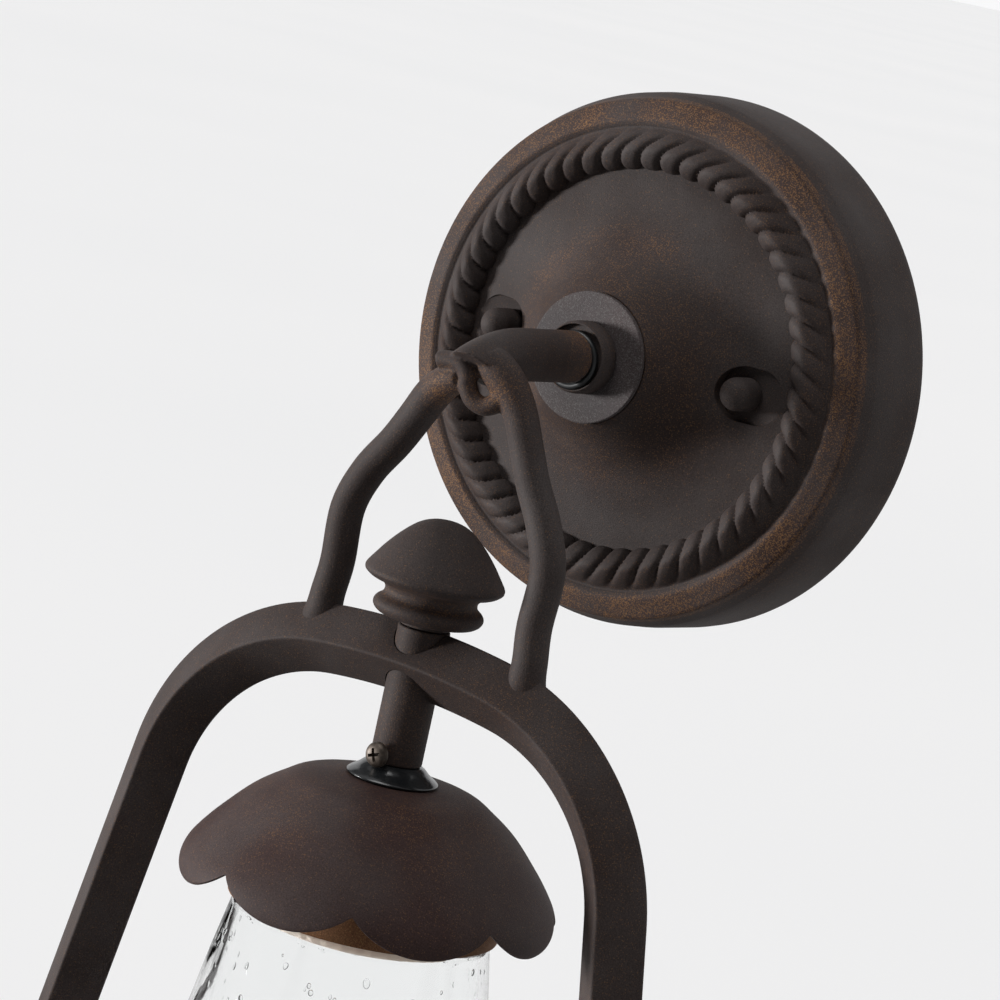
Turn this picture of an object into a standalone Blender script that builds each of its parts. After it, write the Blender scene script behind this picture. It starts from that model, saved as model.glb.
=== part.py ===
"""Outdoor wall lantern: a domed canopy, a bent arm with a looped bail, an arched frame of square bar set
on edge, and a scalloped cap over a flared glass shade.

Metres, +Z up. The wall is the plane y = 0, +Y goes into the wall, and the origin is the centre of the
canopy on the wall. Pieces on the arm's axis are turned in the frame of the wall_axis empty, whose +Z
points out of the wall, so their heights are distances from the wall. Pieces of the lantern are turned in
the frame of the lantern_axis empty, whose +Z is up.
"""

import math

import bmesh
import bpy
from mathutils import Matrix, Quaternion, Vector

MM = 0.001
GAP = 0.3 * MM

# Canopy, crossbar and arm. A height is a distance from the wall.
CANOPY_RADIUS = 65.4 * MM
RIM_RADIUS = 63.0 * MM
ROPE_STRANDS = 54
ROPE_RADIUS = 50.0 * MM
ROPE_HALF_WIDTH = 5.0 * MM
ROPE_RELIEF = 0.45 * MM
FACE_HEIGHT = 45.1 * MM
SHELL_THICKNESS = 2.4 * MM
STUD_SPACING = 70.0 * MM
STUD_RADIUS = 2.0 * MM
STUD_TOP = 33.7 * MM
POCKET_RADIUS = 6.7 * MM
POCKET_REACH = 3.0 * MM
POCKET_FLOOR = 28.2 * MM
BALL_RADIUS = 4.0 * MM
BALL_HEIGHT = 33.8 * MM
CROSSBAR_SIZE = (102.0 * MM, 16.0 * MM, 1.6 * MM)
GROUND_SCREW_X = -18.0 * MM
NIPPLE_RADIUS = 5.0 * MM
WASHER_RADIUS = 15.7 * MM
COLLAR_RADIUS = 8.7 * MM
ARM_RADIUS = 6.2 * MM
ARM_START = 52.9 * MM
ARM_BEND_START = 74.0 * MM
ARM_BEND_RADIUS = 42.0 * MM
ARM_BEND_ANGLE = math.radians(31.0)
ARM_TIP = 97.7 * MM
ARM_CUT_ANGLE = math.radians(31.7)

# Bail and frame, in the lantern's plane. A height is z.
LANTERN_DISTANCE = 89.4 * MM
BAIL_RADIUS = 4.15 * MM
BAIL_OFFSET = 1.0 * MM
CURL_RADIUS = 2.05 * MM
FRAME_TOP = -73.1 * MM
FRAME_TOP_RADIUS = 186.8 * MM
FRAME_TOP_ANGLE = math.radians(7.41)
FRAME_SHOULDER_RADIUS = 50.0 * MM
FRAME_LEG_ANGLE = math.radians(79.57)
FRAME_CORNER_RADIUS = 22.0 * MM
FRAME_BOTTOM = -276.0 * MM
BAR_HALF_DIAGONAL = 8.4 * MM
BAR_EDGE = 0.5 * MM
STEM_RADIUS = 6.15 * MM
STEM_BORE = 4.4 * MM
STEM_BOTTOM = -97.2 * MM
STEM_TOP = -65.0 * MM
ROD_RADIUS = 3.0 * MM
ROD_BORE = 3.3 * MM
ROD_TOP = -56.0 * MM
ROD_BOTTOM = -83.7 * MM
SET_SCREW_HEIGHT = -95.1 * MM

# Shade assembly, on the lantern's axis.
SPIGOT_RADIUS = 4.1 * MM
SPIGOT_BORE = 2.7 * MM
SHEET_THICKNESS = 1.2 * MM
LOBES = 8
LOBE_DROP = 6.7 * MM
FIRST_CUSP = math.radians(-90.0 + 30.8)
SKIRT_START = -123.0 * MM
CUSP_HEIGHT = -124.4 * MM
SOCKET_RADIUS = 16.6 * MM
SOCKET_BOTTOM = -138.6 * MM
HOLDER_RADIUS = 32.1 * MM
HOLDER_TOP = -129.5 * MM
HOLDER_DEPTH = 4.6 * MM
GLASS_TOP_RADIUS = 29.8 * MM
GLASS_TOP = -131.0 * MM
GLASS_BOTTOM = -248.0 * MM
GLASS_FLARE = 0.184
GLASS_THICKNESS = 2.7 * MM


def clear_scene():
    for obj in list(bpy.data.objects):
        bpy.data.objects.remove(obj, do_unlink=True)


def make_material(name, colour, roughness, metallic, transmission=0.0):
    material = bpy.data.materials.new(name)
    material.use_nodes = True
    shader = material.node_tree.nodes["Principled BSDF"]
    shader.inputs["Base Color"].default_value = (*colour, 1.0)
    shader.inputs["Roughness"].default_value = roughness
    shader.inputs["Metallic"].default_value = metallic
    shader.inputs["Transmission Weight"].default_value = transmission
    material.diffuse_color = (*colour, 1.0)
    return material


def add_empty(name, location, rotation=(0.0, 0.0, 0.0)):
    empty = bpy.data.objects.new(name, None)
    empty.location = location
    empty.rotation_euler = rotation
    bpy.context.scene.collection.objects.link(empty)
    return empty


def add_solid(name, bm, material, parent=None, location=(0.0, 0.0, 0.0), rotation=(0.0, 0.0, 0.0)):
    mesh = bpy.data.meshes.new(name)
    bmesh.ops.recalc_face_normals(bm, faces=bm.faces)
    bm.to_mesh(mesh)
    bm.free()
    mesh.shade_smooth()
    mesh.set_sharp_from_angle(angle=math.radians(35.0))
    obj = bpy.data.objects.new(name, mesh)
    obj.location = location
    obj.rotation_euler = rotation
    obj.parent = parent
    if material:
        mesh.materials.append(material)
    bpy.context.scene.collection.objects.link(obj)
    return obj


def add_helper(name, bm, parent=None, location=(0.0, 0.0, 0.0), rotation=(0.0, 0.0, 0.0)):
    helper = add_solid(name, bm, None, parent, location, rotation)
    helper.hide_render = True
    helper.display_type = "WIRE"
    return helper


def combine(obj, helper, operation):
    modifier = obj.modifiers.new(f"{operation.lower()}_{helper.name}", "BOOLEAN")
    modifier.operation = operation
    modifier.solver = "EXACT"
    modifier.object = helper


def revolve(profile, segments, closed=True, shape=None):
    """Turns (radius, height) points about +Z. A closed profile is a loop clear of the axis; an open one
    starts and ends on the axis. shape(radius, height, angle) returns a changed radius and height."""
    bm = bmesh.new()
    rings = []
    for radius, height in profile:
        if radius == 0.0:
            rings.append([bm.verts.new((0.0, 0.0, height))])
            continue
        ring = []
        for index in range(segments):
            angle = math.tau * index / segments
            r, h = shape(radius, height, angle) if shape else (radius, height)
            ring.append(bm.verts.new((r * math.cos(angle), r * math.sin(angle), h)))
        rings.append(ring)
    following = rings[1:] + (rings[:1] if closed else [])
    for near, far in zip(rings, following):
        for index in range(segments):
            step = index + 1
            corners = [near[index % len(near)], near[step % len(near)]]
            corners += [far[step % len(far)], far[index % len(far)]]
            bm.faces.new(dict.fromkeys(corners))
    return bm


def in_mm(points):
    return [tuple(value * MM for value in point) for point in points]


def ring_profile(inner, outer, low, high):
    return [(inner, high), (outer, high), (outer, low), (inner, low)]


def disc_profile(radius, low, high):
    return [(0.0, high), (radius, high), (radius, low), (0.0, low)]


def hexagon(apothem):
    """A shape for revolve that gives the ring at that radius six flats."""

    def shape(radius, height, angle):
        if radius < apothem:
            return radius, height
        sector = math.tau / 6
        return apothem / math.cos((angle % sector) - sector / 2), height

    return shape


def hex_nut(bore, apothem, low, high):
    return revolve(ring_profile(bore, apothem, low, high), 24, shape=hexagon(apothem))


def smooth_path(points, steps):
    """A Catmull-Rom curve through the points."""
    ends = [points[0] * 2 - points[1]] + points + [points[-1] * 2 - points[-2]]
    path = []
    for before, start, stop, after in zip(ends, ends[1:], ends[2:], ends[3:]):
        for index in range(steps):
            t = index / steps
            bend = (before * 2 - start * 5 + stop * 4 - after) * t * t
            twist = (start * 3 - before - stop * 3 + after) * t * t * t
            path.append((start * 2 + (stop - before) * t + bend + twist) / 2)
    return path + [points[-1]]


def tube(path, radius, sides):
    """A round bar along a path, with flat ends. Its rings keep their roll from one to the next."""
    bm = bmesh.new()
    rings = []
    tangent = (path[1] - path[0]).normalized()
    across = tangent.orthogonal().normalized()
    for index, point in enumerate(path):
        before = path[max(index - 1, 0)]
        after = path[min(index + 1, len(path) - 1)]
        turned = (after - before).normalized()
        across = (tangent.rotation_difference(turned) @ across).normalized()
        tangent = turned
        ring = []
        for side in range(sides):
            spoke = Quaternion(tangent, math.tau * side / sides) @ across
            ring.append(bm.verts.new(point + spoke * radius))
        rings.append(ring)
    for near, far in zip(rings, rings[1:]):
        for side in range(sides):
            step = (side + 1) % sides
            bm.faces.new((near[side], near[step], far[step], far[side]))
    bm.faces.new(rings[0])
    bm.faces.new(rings[-1])
    return bm


def box(size, centre=(0.0, 0.0, 0.0)):
    bm = bmesh.new()
    bmesh.ops.create_cube(bm, size=1.0, matrix=Matrix.Translation(centre) @ Matrix.Diagonal((*size, 1.0)))
    return bm


# Canopy and what fastens it to the wall


def canopy_outline():
    """The outside of the canopy, from the edge of its centre hole to the wall."""
    dome = [(15.9, 45.1), (22.1, 38.2), (28.3, 33.0), (36.0, 29.9), (45.5, 27.9)]
    rope = [(47.5, 31.0), (50.2, 32.3), (52.5, 31.2), (54.2, 28.8), (56.6, 27.0)]
    rim = [(58.2, 27.4), (59.6, 28.2), (61.0, 28.4), (62.4, 27.6), (63.6, 24.2), (64.6, 21.5), (65.4, 0.0)]
    return in_mm(dome + rope + rim)


def canopy_profile():
    inside = in_mm([(63.0, 0.0), (61.4, 23.4), (45.0, 25.4), (34.6, 27.6), (26.6, 30.7), (14.2, 42.7)])
    bore = NIPPLE_RADIUS + GAP
    return [(bore, FACE_HEIGHT)] + canopy_outline() + inside + [(bore, FACE_HEIGHT - SHELL_THICKNESS)]


def rope_relief(radius, height, angle):
    weight = max(0.0, 1.0 - ((radius - ROPE_RADIUS) / ROPE_HALF_WIDTH) ** 2)
    return radius, height + ROPE_RELIEF * weight * math.cos(ROPE_STRANDS * angle)


def pocket_block(side):
    """The block that sinks a nut's pocket: round about the stud, and drawn out towards the rope."""
    bm = bmesh.new()
    corners = []
    for index in range(25):
        turn = math.pi * (0.5 + index / 12)
        stretch = POCKET_REACH if math.cos(turn) > 0.01 else 0.0
        x = POCKET_RADIUS * math.cos(turn) + stretch
        corners.append(bm.verts.new((side * x, POCKET_RADIUS * math.sin(turn), POCKET_FLOOR)))
    corners.pop()
    floor = bm.faces.new(corners)
    raised = bmesh.ops.extrude_face_region(bm, geom=[floor])["geom"]
    top = [item for item in raised if isinstance(item, bmesh.types.BMVert)]
    bmesh.ops.translate(bm, verts=top, vec=(0.0, 0.0, FACE_HEIGHT - POCKET_FLOOR))
    return bm


def make_canopy(wall_axis, finish):
    segments = 2 * ROPE_STRANDS
    canopy = add_solid("canopy", revolve(canopy_profile(), segments, shape=rope_relief), finish, wall_axis)
    solid_dome = [(0.0, FACE_HEIGHT)] + canopy_outline() + [(0.0, 0.0)]
    below_face = (0.0, 0.0, -0.6 * MM)
    under_face = add_helper("under_face", revolve(solid_dome, 48, closed=False), wall_axis, below_face)
    for side, x in (("left", -STUD_SPACING / 2), ("right", STUD_SPACING / 2)):
        boss_profile = disc_profile(POCKET_RADIUS + 2 * MM, POCKET_FLOOR - 2.4 * MM, POCKET_FLOOR + 5 * MM)
        boss = add_helper(f"boss_{side}", revolve(boss_profile, 24, closed=False), wall_axis, (x, 0, 0))
        combine(boss, under_face, "INTERSECT")
        combine(canopy, boss, "UNION")
        pocket = add_helper(f"pocket_{side}", pocket_block(math.copysign(1.0, x)), wall_axis, (x, 0, 0))
        combine(canopy, pocket, "DIFFERENCE")
        hole_profile = disc_profile(STUD_RADIUS + GAP, POCKET_FLOOR - 5 * MM, POCKET_FLOOR + 1 * MM)
        hole = add_helper(f"hole_{side}", revolve(hole_profile, 12, closed=False), wall_axis, (x, 0, 0))
        combine(canopy, hole, "DIFFERENCE")


def make_gasket(wall_axis, foam):
    profile = ring_profile(58.5 * MM, 62.5 * MM, 0.0, 2.6 * MM)
    add_solid("wall_gasket", revolve(profile, 48), foam, wall_axis)


def make_crossbar(wall_axis, steel):
    length, width, thickness = CROSSBAR_SIZE
    crossbar = add_solid("mounting_crossbar", box(CROSSBAR_SIZE, (0, 0, thickness / 2)), steel, wall_axis)
    holes = [(0.0, 6.5 * MM), (GROUND_SCREW_X, 2.0 * MM)]
    holes += [(side * STUD_SPACING / 2, STUD_RADIUS + GAP) for side in (-1, 1)]
    for number, (x, radius) in enumerate(holes):
        profile = disc_profile(radius, -thickness, 2 * thickness)
        hole = add_helper(f"crossbar_hole_{number}", revolve(profile, 16, closed=False), wall_axis, (x, 0, 0))
        combine(crossbar, hole, "DIFFERENCE")
    slot_size = (5.0 * MM, 4.6 * MM, 4 * thickness)
    slot_x = length / 2 - 6.5 * MM
    for side in (-1, 1):
        slot = add_helper(f"crossbar_slot_{side}", box(slot_size), wall_axis, (side * slot_x, 0, 0))
        combine(crossbar, slot, "DIFFERENCE")


def make_ground_screw(wall_axis, green):
    top = CROSSBAR_SIZE[2] + GAP
    shank = 1.7 * MM
    head = 3.8 * MM
    profile = [(0.0, top + 2.4 * MM), (2.6 * MM, top + 2.2 * MM), (head, top + 1.2 * MM), (head, top)]
    profile += [(shank, top), (shank, GAP), (0.0, GAP)]
    screw = add_solid("ground_screw", revolve(profile, 16, False), green, wall_axis, (GROUND_SCREW_X, 0, 0))
    slot = add_helper("ground_screw_slot", box((8 * MM, 1 * MM, 2 * MM)), screw, (0, 0, top + 2.4 * MM))
    combine(screw, slot, "DIFFERENCE")


def make_studs(wall_axis, steel, finish):
    nut_low = CROSSBAR_SIZE[2] + GAP
    nut_high = nut_low + 3 * MM
    ball_low = POCKET_FLOOR + GAP
    bore = STUD_RADIUS + GAP
    bore_top = STUD_TOP + GAP
    ball = [(0.0, BALL_HEIGHT + BALL_RADIUS)]
    for degrees in (70, 50, 30, 10):
        lift = math.radians(degrees)
        ball.append((BALL_RADIUS * math.cos(lift), BALL_HEIGHT + BALL_RADIUS * math.sin(lift)))
    ball += [(BALL_RADIUS, ball_low), (bore, ball_low), (bore, bore_top), (0.0, bore_top)]
    for side, x in (("left", -STUD_SPACING / 2), ("right", STUD_SPACING / 2)):
        place = (x, 0.0, 0.0)
        stud = revolve(disc_profile(STUD_RADIUS, GAP, STUD_TOP), 12, closed=False)
        add_solid(f"fixture_stud_{side}", stud, steel, wall_axis, place)
        nut = hex_nut(bore, 3.5 * MM, nut_low, nut_high)
        add_solid(f"stud_locknut_{side}", nut, steel, wall_axis, place)
        add_solid(f"ball_nut_{side}", revolve(ball, 20, closed=False), finish, wall_axis, place)


# Arm


def make_arm_hardware(wall_axis, finish, washer_finish, steel, black):
    bore = NIPPLE_RADIUS + GAP
    washer = ring_profile(bore, WASHER_RADIUS, FACE_HEIGHT + GAP, FACE_HEIGHT + 1.5 * MM)
    add_solid("arm_washer", revolve(washer, 40), washer_finish, wall_axis)
    collar_low = FACE_HEIGHT + 1.5 * MM + GAP
    collar = [(bore, 50.6 * MM), (7.8 * MM, 50.6 * MM), (7.8 * MM, 52.2 * MM), (8.1 * MM, 52.2 * MM)]
    collar += [(8.5 * MM, 51.6 * MM), (COLLAR_RADIUS, 50.4 * MM), (COLLAR_RADIUS, collar_low), (bore, collar_low)]
    add_solid("arm_collar", revolve(collar, 32), finish, wall_axis)
    seal = []
    for corner in range(8):
        turn = math.tau * corner / 8
        seal.append((6.6 * MM + 0.7 * MM * math.cos(turn), 51.7 * MM + 0.7 * MM * math.sin(turn)))
    sag = (-0.22 * MM, -0.36 * MM, 0.0)
    add_solid("arm_seal_ring", revolve(seal, 24), black, wall_axis, sag)
    nipple = ring_profile(3.5 * MM, NIPPLE_RADIUS, 36.0 * MM, 60.0 * MM)
    add_solid("arm_nipple", revolve(nipple, 20), steel, wall_axis)
    lock_high = FACE_HEIGHT - SHELL_THICKNESS - GAP
    lock_low = lock_high - 1.2 * MM
    add_solid("arm_lock_washer", revolve(ring_profile(bore, 8.6 * MM, lock_low, lock_high), 24), steel, wall_axis)
    nut = hex_nut(bore, 8.0 * MM, lock_low - GAP - 3.5 * MM, lock_low - GAP)
    add_solid("arm_locknut", nut, steel, wall_axis)


def arm_path():
    path = [Vector((0.0, 0.0, ARM_START)), Vector((0.0, 0.0, ARM_BEND_START))]
    steps = 8
    for index in range(1, steps + 1):
        turn = ARM_BEND_ANGLE * index / steps
        drop = ARM_BEND_RADIUS * (math.cos(turn) - 1.0)
        path.append(Vector((0.0, drop, ARM_BEND_START + ARM_BEND_RADIUS * math.sin(turn))))
    return path


def arm_end_cut(wall_axis, name, clearance):
    """The block under the arm's pointed end. A clearance moves it away from the arm."""
    size = 40 * MM
    centre = Vector((0.0, -size / 2 - clearance, -size / 2 + 10 * MM))
    turn = Matrix.Rotation(-ARM_CUT_ANGLE, 4, "X")
    place = Vector((0.0, 0.0, ARM_TIP)) + turn @ centre
    return add_helper(name, box((size, size, size)), wall_axis, place, turn.to_euler())


def make_arm(wall_axis, finish):
    """The arm, and a slightly fatter copy of it that trims what is fixed to it."""
    arm = add_solid("arm_tube", tube(arm_path(), ARM_RADIUS, 20), finish, wall_axis)
    combine(arm, arm_end_cut(wall_axis, "arm_end_cut", 0.0), "DIFFERENCE")
    bore = [(0.0, ARM_START - 1 * MM), (5.3 * MM, ARM_START - 1 * MM), (5.3 * MM, 60.5 * MM)]
    bore += [(4.0 * MM, 61.8 * MM), (4.0 * MM, 80.0 * MM), (0.0, 80.0 * MM)]
    combine(arm, add_helper("arm_bore", revolve(bore, 20, closed=False), wall_axis), "DIFFERENCE")
    trimmer = add_helper("arm_trimmer", tube(arm_path(), ARM_RADIUS + GAP, 20), wall_axis)
    combine(trimmer, arm_end_cut(wall_axis, "arm_trimmer_cut", GAP), "DIFFERENCE")
    return trimmer


# Bail and frame


def bail_path(side):
    """One leg of the bail, from inside the frame's bar up to the arm. side is -1 for left."""
    shape = [(29.6, -73.0), (29.4, -66.0), (28.5, -56.7), (28.8, -44.1), (25.2, -34.3), (18.9, -25.8)]
    shape += [(14.2, -17.0), (11.2, -9.6)] if side > 0 else [(13.9, -17.0), (11.0, -11.4)]
    shape += [(6.6, -2.4)] if side > 0 else [(7.2, -7.4)]
    y = BAIL_OFFSET
    return smooth_path([Vector((side * x * MM, y, z * MM)) for x, z in shape], 3)


def curl_path():
    """The thin rod that loops from the right leg, under the eye, and over the top of the left leg."""
    shape = [(-8.4, -3.9, -3.6), (-4.6, -3.9, -2.9), (-1.5, -3.9, -4.4), (-0.1, -3.4, -7.2)]
    shape += [(1.3, -2.8, -9.9), (3.9, -1.8, -11.3), (6.4, -0.8, -10.0), (8.6, 0.2, -7.6)]
    return smooth_path([Vector(point) * MM for point in shape], 3)


def frame_path():
    """The centreline of the frame, as (x, z) points with their outward normals, clockwise from the top."""
    half = []
    top_centre = Vector((0.0, FRAME_TOP - FRAME_TOP_RADIUS))
    for index in range(4):
        turn = FRAME_TOP_ANGLE * index / 4
        normal = Vector((math.sin(turn), math.cos(turn)))
        half.append((top_centre + normal * FRAME_TOP_RADIUS, normal))
    junction = Vector((math.sin(FRAME_TOP_ANGLE), math.cos(FRAME_TOP_ANGLE)))
    shoulder_centre = top_centre + junction * (FRAME_TOP_RADIUS - FRAME_SHOULDER_RADIUS)
    for index in range(13):
        turn = FRAME_TOP_ANGLE + (FRAME_LEG_ANGLE - FRAME_TOP_ANGLE) * index / 12
        normal = Vector((math.sin(turn), math.cos(turn)))
        half.append((shoulder_centre + normal * FRAME_SHOULDER_RADIUS, normal))
    leg_top, leg_normal = half[-1]
    leg_way = Vector((leg_normal.y, -leg_normal.x))
    corner_centre_z = FRAME_BOTTOM + FRAME_CORNER_RADIUS
    rise = leg_top.y - leg_normal.y * FRAME_CORNER_RADIUS - corner_centre_z
    corner_centre = leg_top - leg_normal * FRAME_CORNER_RADIUS + leg_way * (rise / -leg_way.y)
    for index in range(9):
        turn = FRAME_LEG_ANGLE + (math.pi - FRAME_LEG_ANGLE) * index / 8
        normal = Vector((math.sin(turn), math.cos(turn)))
        half.append((corner_centre + normal * FRAME_CORNER_RADIUS, normal))
    mirrored = [(Vector((-p.x, p.y)), Vector((-n.x, n.y))) for p, n in reversed(half[1:])]
    return half + mirrored


def frame_bar(half_diagonal):
    """The bar around the frame: a square set on edge, with a small flat along each of its edges."""
    flat = BAR_EDGE
    reach = half_diagonal - flat
    section = [(half_diagonal, -flat), (half_diagonal, flat), (flat, half_diagonal), (-flat, half_diagonal)]
    section += [(-reach - flat, flat), (-reach - flat, -flat), (-flat, -half_diagonal), (flat, -half_diagonal)]
    bm = bmesh.new()
    rings = []
    for point, normal in frame_path():
        ring = []
        for out, across in section:
            place = point + normal * out
            ring.append(bm.verts.new((place.x, across, place.y)))
        rings.append(ring)
    for near, far in zip(rings, rings[1:] + rings[:1]):
        for corner in range(len(section)):
            step = (corner + 1) % len(section)
            bm.faces.new((near[corner], near[step], far[step], far[corner]))
    return bm


def make_bail(lantern_axis, arm_trimmer, frame_trimmer, finish):
    legs = {}
    for side, sign in (("left", -1), ("right", 1)):
        leg = add_solid(f"bail_leg_{side}", tube(bail_path(sign), BAIL_RADIUS, 16), finish, lantern_axis)
        combine(leg, frame_trimmer, "DIFFERENCE")
        combine(leg, arm_trimmer, "DIFFERENCE")
        legs[side] = leg
    curl_trimmer = add_helper("curl_trimmer", tube(curl_path(), CURL_RADIUS + GAP, 12), lantern_axis)
    combine(legs["left"], curl_trimmer, "DIFFERENCE")
    curl = add_solid("bail_curl", tube(curl_path(), CURL_RADIUS, 12), finish, lantern_axis)
    leg_trimmer = add_helper("right_leg_trimmer", tube(bail_path(1), BAIL_RADIUS + GAP, 16), lantern_axis)
    combine(curl, leg_trimmer, "DIFFERENCE")
    combine(curl, arm_trimmer, "DIFFERENCE")


def make_frame(lantern_axis, finish):
    """The frame, and the stem through its top. Returns the fatter copy that trims what is fixed to it."""
    frame = add_solid("lantern_frame", frame_bar(BAR_HALF_DIAGONAL), finish, lantern_axis)
    stem_hole = disc_profile(STEM_RADIUS + GAP, FRAME_TOP - 15 * MM, FRAME_TOP + 15 * MM)
    combine(frame, add_helper("stem_hole", revolve(stem_hole, 24, closed=False), lantern_axis), "DIFFERENCE")
    trimmer = add_helper("frame_trimmer", frame_bar(BAR_HALF_DIAGONAL + 0.45 * MM), lantern_axis)
    stem_profile = [(ROD_BORE, STEM_TOP), (STEM_RADIUS, STEM_TOP), (STEM_RADIUS, STEM_BOTTOM)]
    stem_profile += [(STEM_BORE, STEM_BOTTOM), (STEM_BORE, ROD_BOTTOM - GAP), (ROD_BORE, ROD_BOTTOM - GAP)]
    stem = add_solid("frame_stem", revolve(stem_profile, 24), finish, lantern_axis)
    screw_hole = revolve(disc_profile(1.55 * MM, 0.0, 10 * MM), 12, closed=False)
    place = (0.0, 0.0, SET_SCREW_HEIGHT)
    outward = (math.pi / 2, 0.0, 0.0)
    combine(stem, add_helper("set_screw_hole", screw_hole, lantern_axis, place, outward), "DIFFERENCE")
    rod = revolve(disc_profile(ROD_RADIUS, ROD_BOTTOM, ROD_TOP), 16, closed=False)
    add_solid("hanging_rod", rod, finish, lantern_axis)
    return trimmer


def make_finial(lantern_axis, finish):
    cap = [(0.0, -39.6), (3.2, -39.9), (6.3, -41.2), (9.5, -43.9), (12.6, -47.4), (15.0, -50.7)]
    cap += [(16.3, -52.6), (16.4, -53.8), (14.8, -55.1), (11.2, -56.3)]
    ring = [(10.9, -57.5), (11.4, -58.8), (12.7, -59.9), (12.9, -61.1), (12.2, -62.3), (10.4, -63.3)]
    neck = [(6.0, -64.0), (5.8, -64.7), (3.3, -64.7), (3.3, -55.7), (0.0, -55.7)]
    add_solid("finial", revolve(in_mm(cap + ring + neck), 28, closed=False), finish, lantern_axis)


def make_set_screw(lantern_axis, screw_finish):
    """The cross-head screw through the stem, pointing away from the wall."""
    profile = [(0.0, 9.7), (1.9, 9.5), (2.8, 8.8), (3.0, 7.8), (1.25, 7.8), (1.25, 4.4), (0.0, 4.4)]
    screw = add_solid("shade_set_screw", revolve(in_mm(profile), 16, closed=False), screw_finish, lantern_axis,
                      (0.0, 0.0, SET_SCREW_HEIGHT), (math.pi / 2, 0.0, 0.0))
    for name, size in (("across", (3.2, 0.7, 2.4)), ("upright", (0.7, 3.2, 2.4))):
        slot = box([value * MM for value in size])
        combine(screw, add_helper(f"cross_slot_{name}", slot, screw, (0.0, 0.0, 9.9 * MM)), "DIFFERENCE")


# Shade assembly


def make_spigot(lantern_axis, steel):
    profile = ring_profile(SPIGOT_BORE, SPIGOT_RADIUS, -109.0 * MM, -86.0 * MM)
    add_solid("shade_spigot", revolve(profile, 20), steel, lantern_axis)
    nut = hex_nut(STEM_BORE, 6.5 * MM, -106.2 * MM, -103.1 * MM)
    add_solid("cap_locknut", nut, steel, lantern_axis)


def make_grommet(lantern_axis, black):
    outline = [(6.4, -97.5), (7.3, -98.0), (8.6, -99.2), (10.2, -100.3), (10.8, -100.8), (10.7, -101.2)]
    profile = [(STEM_BORE, -97.5 * MM)] + in_mm(outline) + [(STEM_BORE, -101.2 * MM)]
    add_solid("stem_grommet", revolve(profile, 28), black, lantern_axis)


def skirt_radius(height):
    """The outer radius of the cap's rounded skirt."""
    return 44.6 * MM - 55.0 * (height + 129.2 * MM) ** 2


def scallop(radius, height, angle):
    """Runs the skirt down to an edge of arcs that meet in cusps. Heights below SKIRT_START are stretched
    to reach that edge."""
    if height >= SKIRT_START:
        return radius, height
    across = ((angle - FIRST_CUSP) % (math.tau / LOBES)) / (math.tau / LOBES) * 2.0 - 1.0
    half_chord = 16.6 * MM
    arc_radius = (half_chord**2 + LOBE_DROP**2) / (2.0 * LOBE_DROP)
    drop = math.sqrt(arc_radius**2 - (across * half_chord) ** 2) - (arc_radius - LOBE_DROP)
    stretched = SKIRT_START + (height - SKIRT_START) * (SKIRT_START - CUSP_HEIGHT + drop) / (SKIRT_START - CUSP_HEIGHT)
    return radius + skirt_radius(stretched) - skirt_radius(height), stretched


def make_cap(lantern_axis, finish):
    crown = [(11.5, -101.5), (20.8, -103.2), (25.9, -106.1), (31.9, -110.6), (38.1, -117.3), (41.0, -120.9)]
    inside = [(40.0, -121.7), (37.2, -118.2), (31.1, -111.5), (25.2, -107.1), (20.5, -104.4)]
    top = -101.5 * MM
    edge = [(skirt_radius(height), height) for height in (SKIRT_START, -123.7 * MM, CUSP_HEIGHT)]
    lining = [(radius - SHEET_THICKNESS, height) for radius, height in reversed(edge)]
    profile = [(STEM_BORE, top)] + in_mm(crown) + edge + lining + in_mm(inside)
    profile += [(STEM_BORE, top - SHEET_THICKNESS)]
    add_solid("scalloped_cap", revolve(profile, 9 * LOBES, shape=scallop), finish, lantern_axis)


def make_socket(lantern_axis, porcelain, brass, ring_finish):
    bore = STEM_BORE
    outside = [(12.0, -107.0), (SOCKET_RADIUS / MM, -110.0), (SOCKET_RADIUS / MM, -127.2), (19.5, -127.2)]
    outside += [(19.5, -129.2), (SOCKET_RADIUS / MM, -129.2), (SOCKET_RADIUS / MM, SOCKET_BOTTOM / MM)]
    inside = [(14.6, SOCKET_BOTTOM / MM), (14.6, -113.3)]
    profile = [(bore, -107.0 * MM)] + in_mm(outside + inside) + [(bore, -113.3 * MM)]
    add_solid("socket_body", revolve(profile, 32), porcelain, lantern_axis)
    shell = ring_profile(13.5 * MM, 14.2 * MM, SOCKET_BOTTOM + 1.0 * MM, -116.0 * MM)
    add_solid("socket_screw_shell", revolve(shell, 28), brass, lantern_axis)
    contact = disc_profile(6.0 * MM, -114.8 * MM, -113.7 * MM)
    add_solid("socket_center_contact", revolve(contact, 16, closed=False), brass, lantern_axis)
    ring = ring_profile(SOCKET_RADIUS + GAP, 20.5 * MM, -137.9 * MM, -134.6 * MM)
    add_solid("socket_ring", revolve(ring, 36), ring_finish, lantern_axis)


def make_glass_holder(lantern_axis, finish):
    bottom = HOLDER_TOP - HOLDER_DEPTH
    ceiling = HOLDER_TOP - SHEET_THICKNESS
    inner = HOLDER_RADIUS - SHEET_THICKNESS
    hole = SOCKET_RADIUS + GAP
    profile = [(hole, HOLDER_TOP), (HOLDER_RADIUS, HOLDER_TOP), (HOLDER_RADIUS, bottom), (inner, bottom)]
    profile += [(inner, ceiling), (hole, ceiling)]
    add_solid("glass_holder", revolve(profile, 40), finish, lantern_axis)


def glass_radius(height):
    """The outer radius of the shade's straight flare."""
    return GLASS_TOP_RADIUS + GLASS_FLARE * (GLASS_TOP - height)


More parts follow.
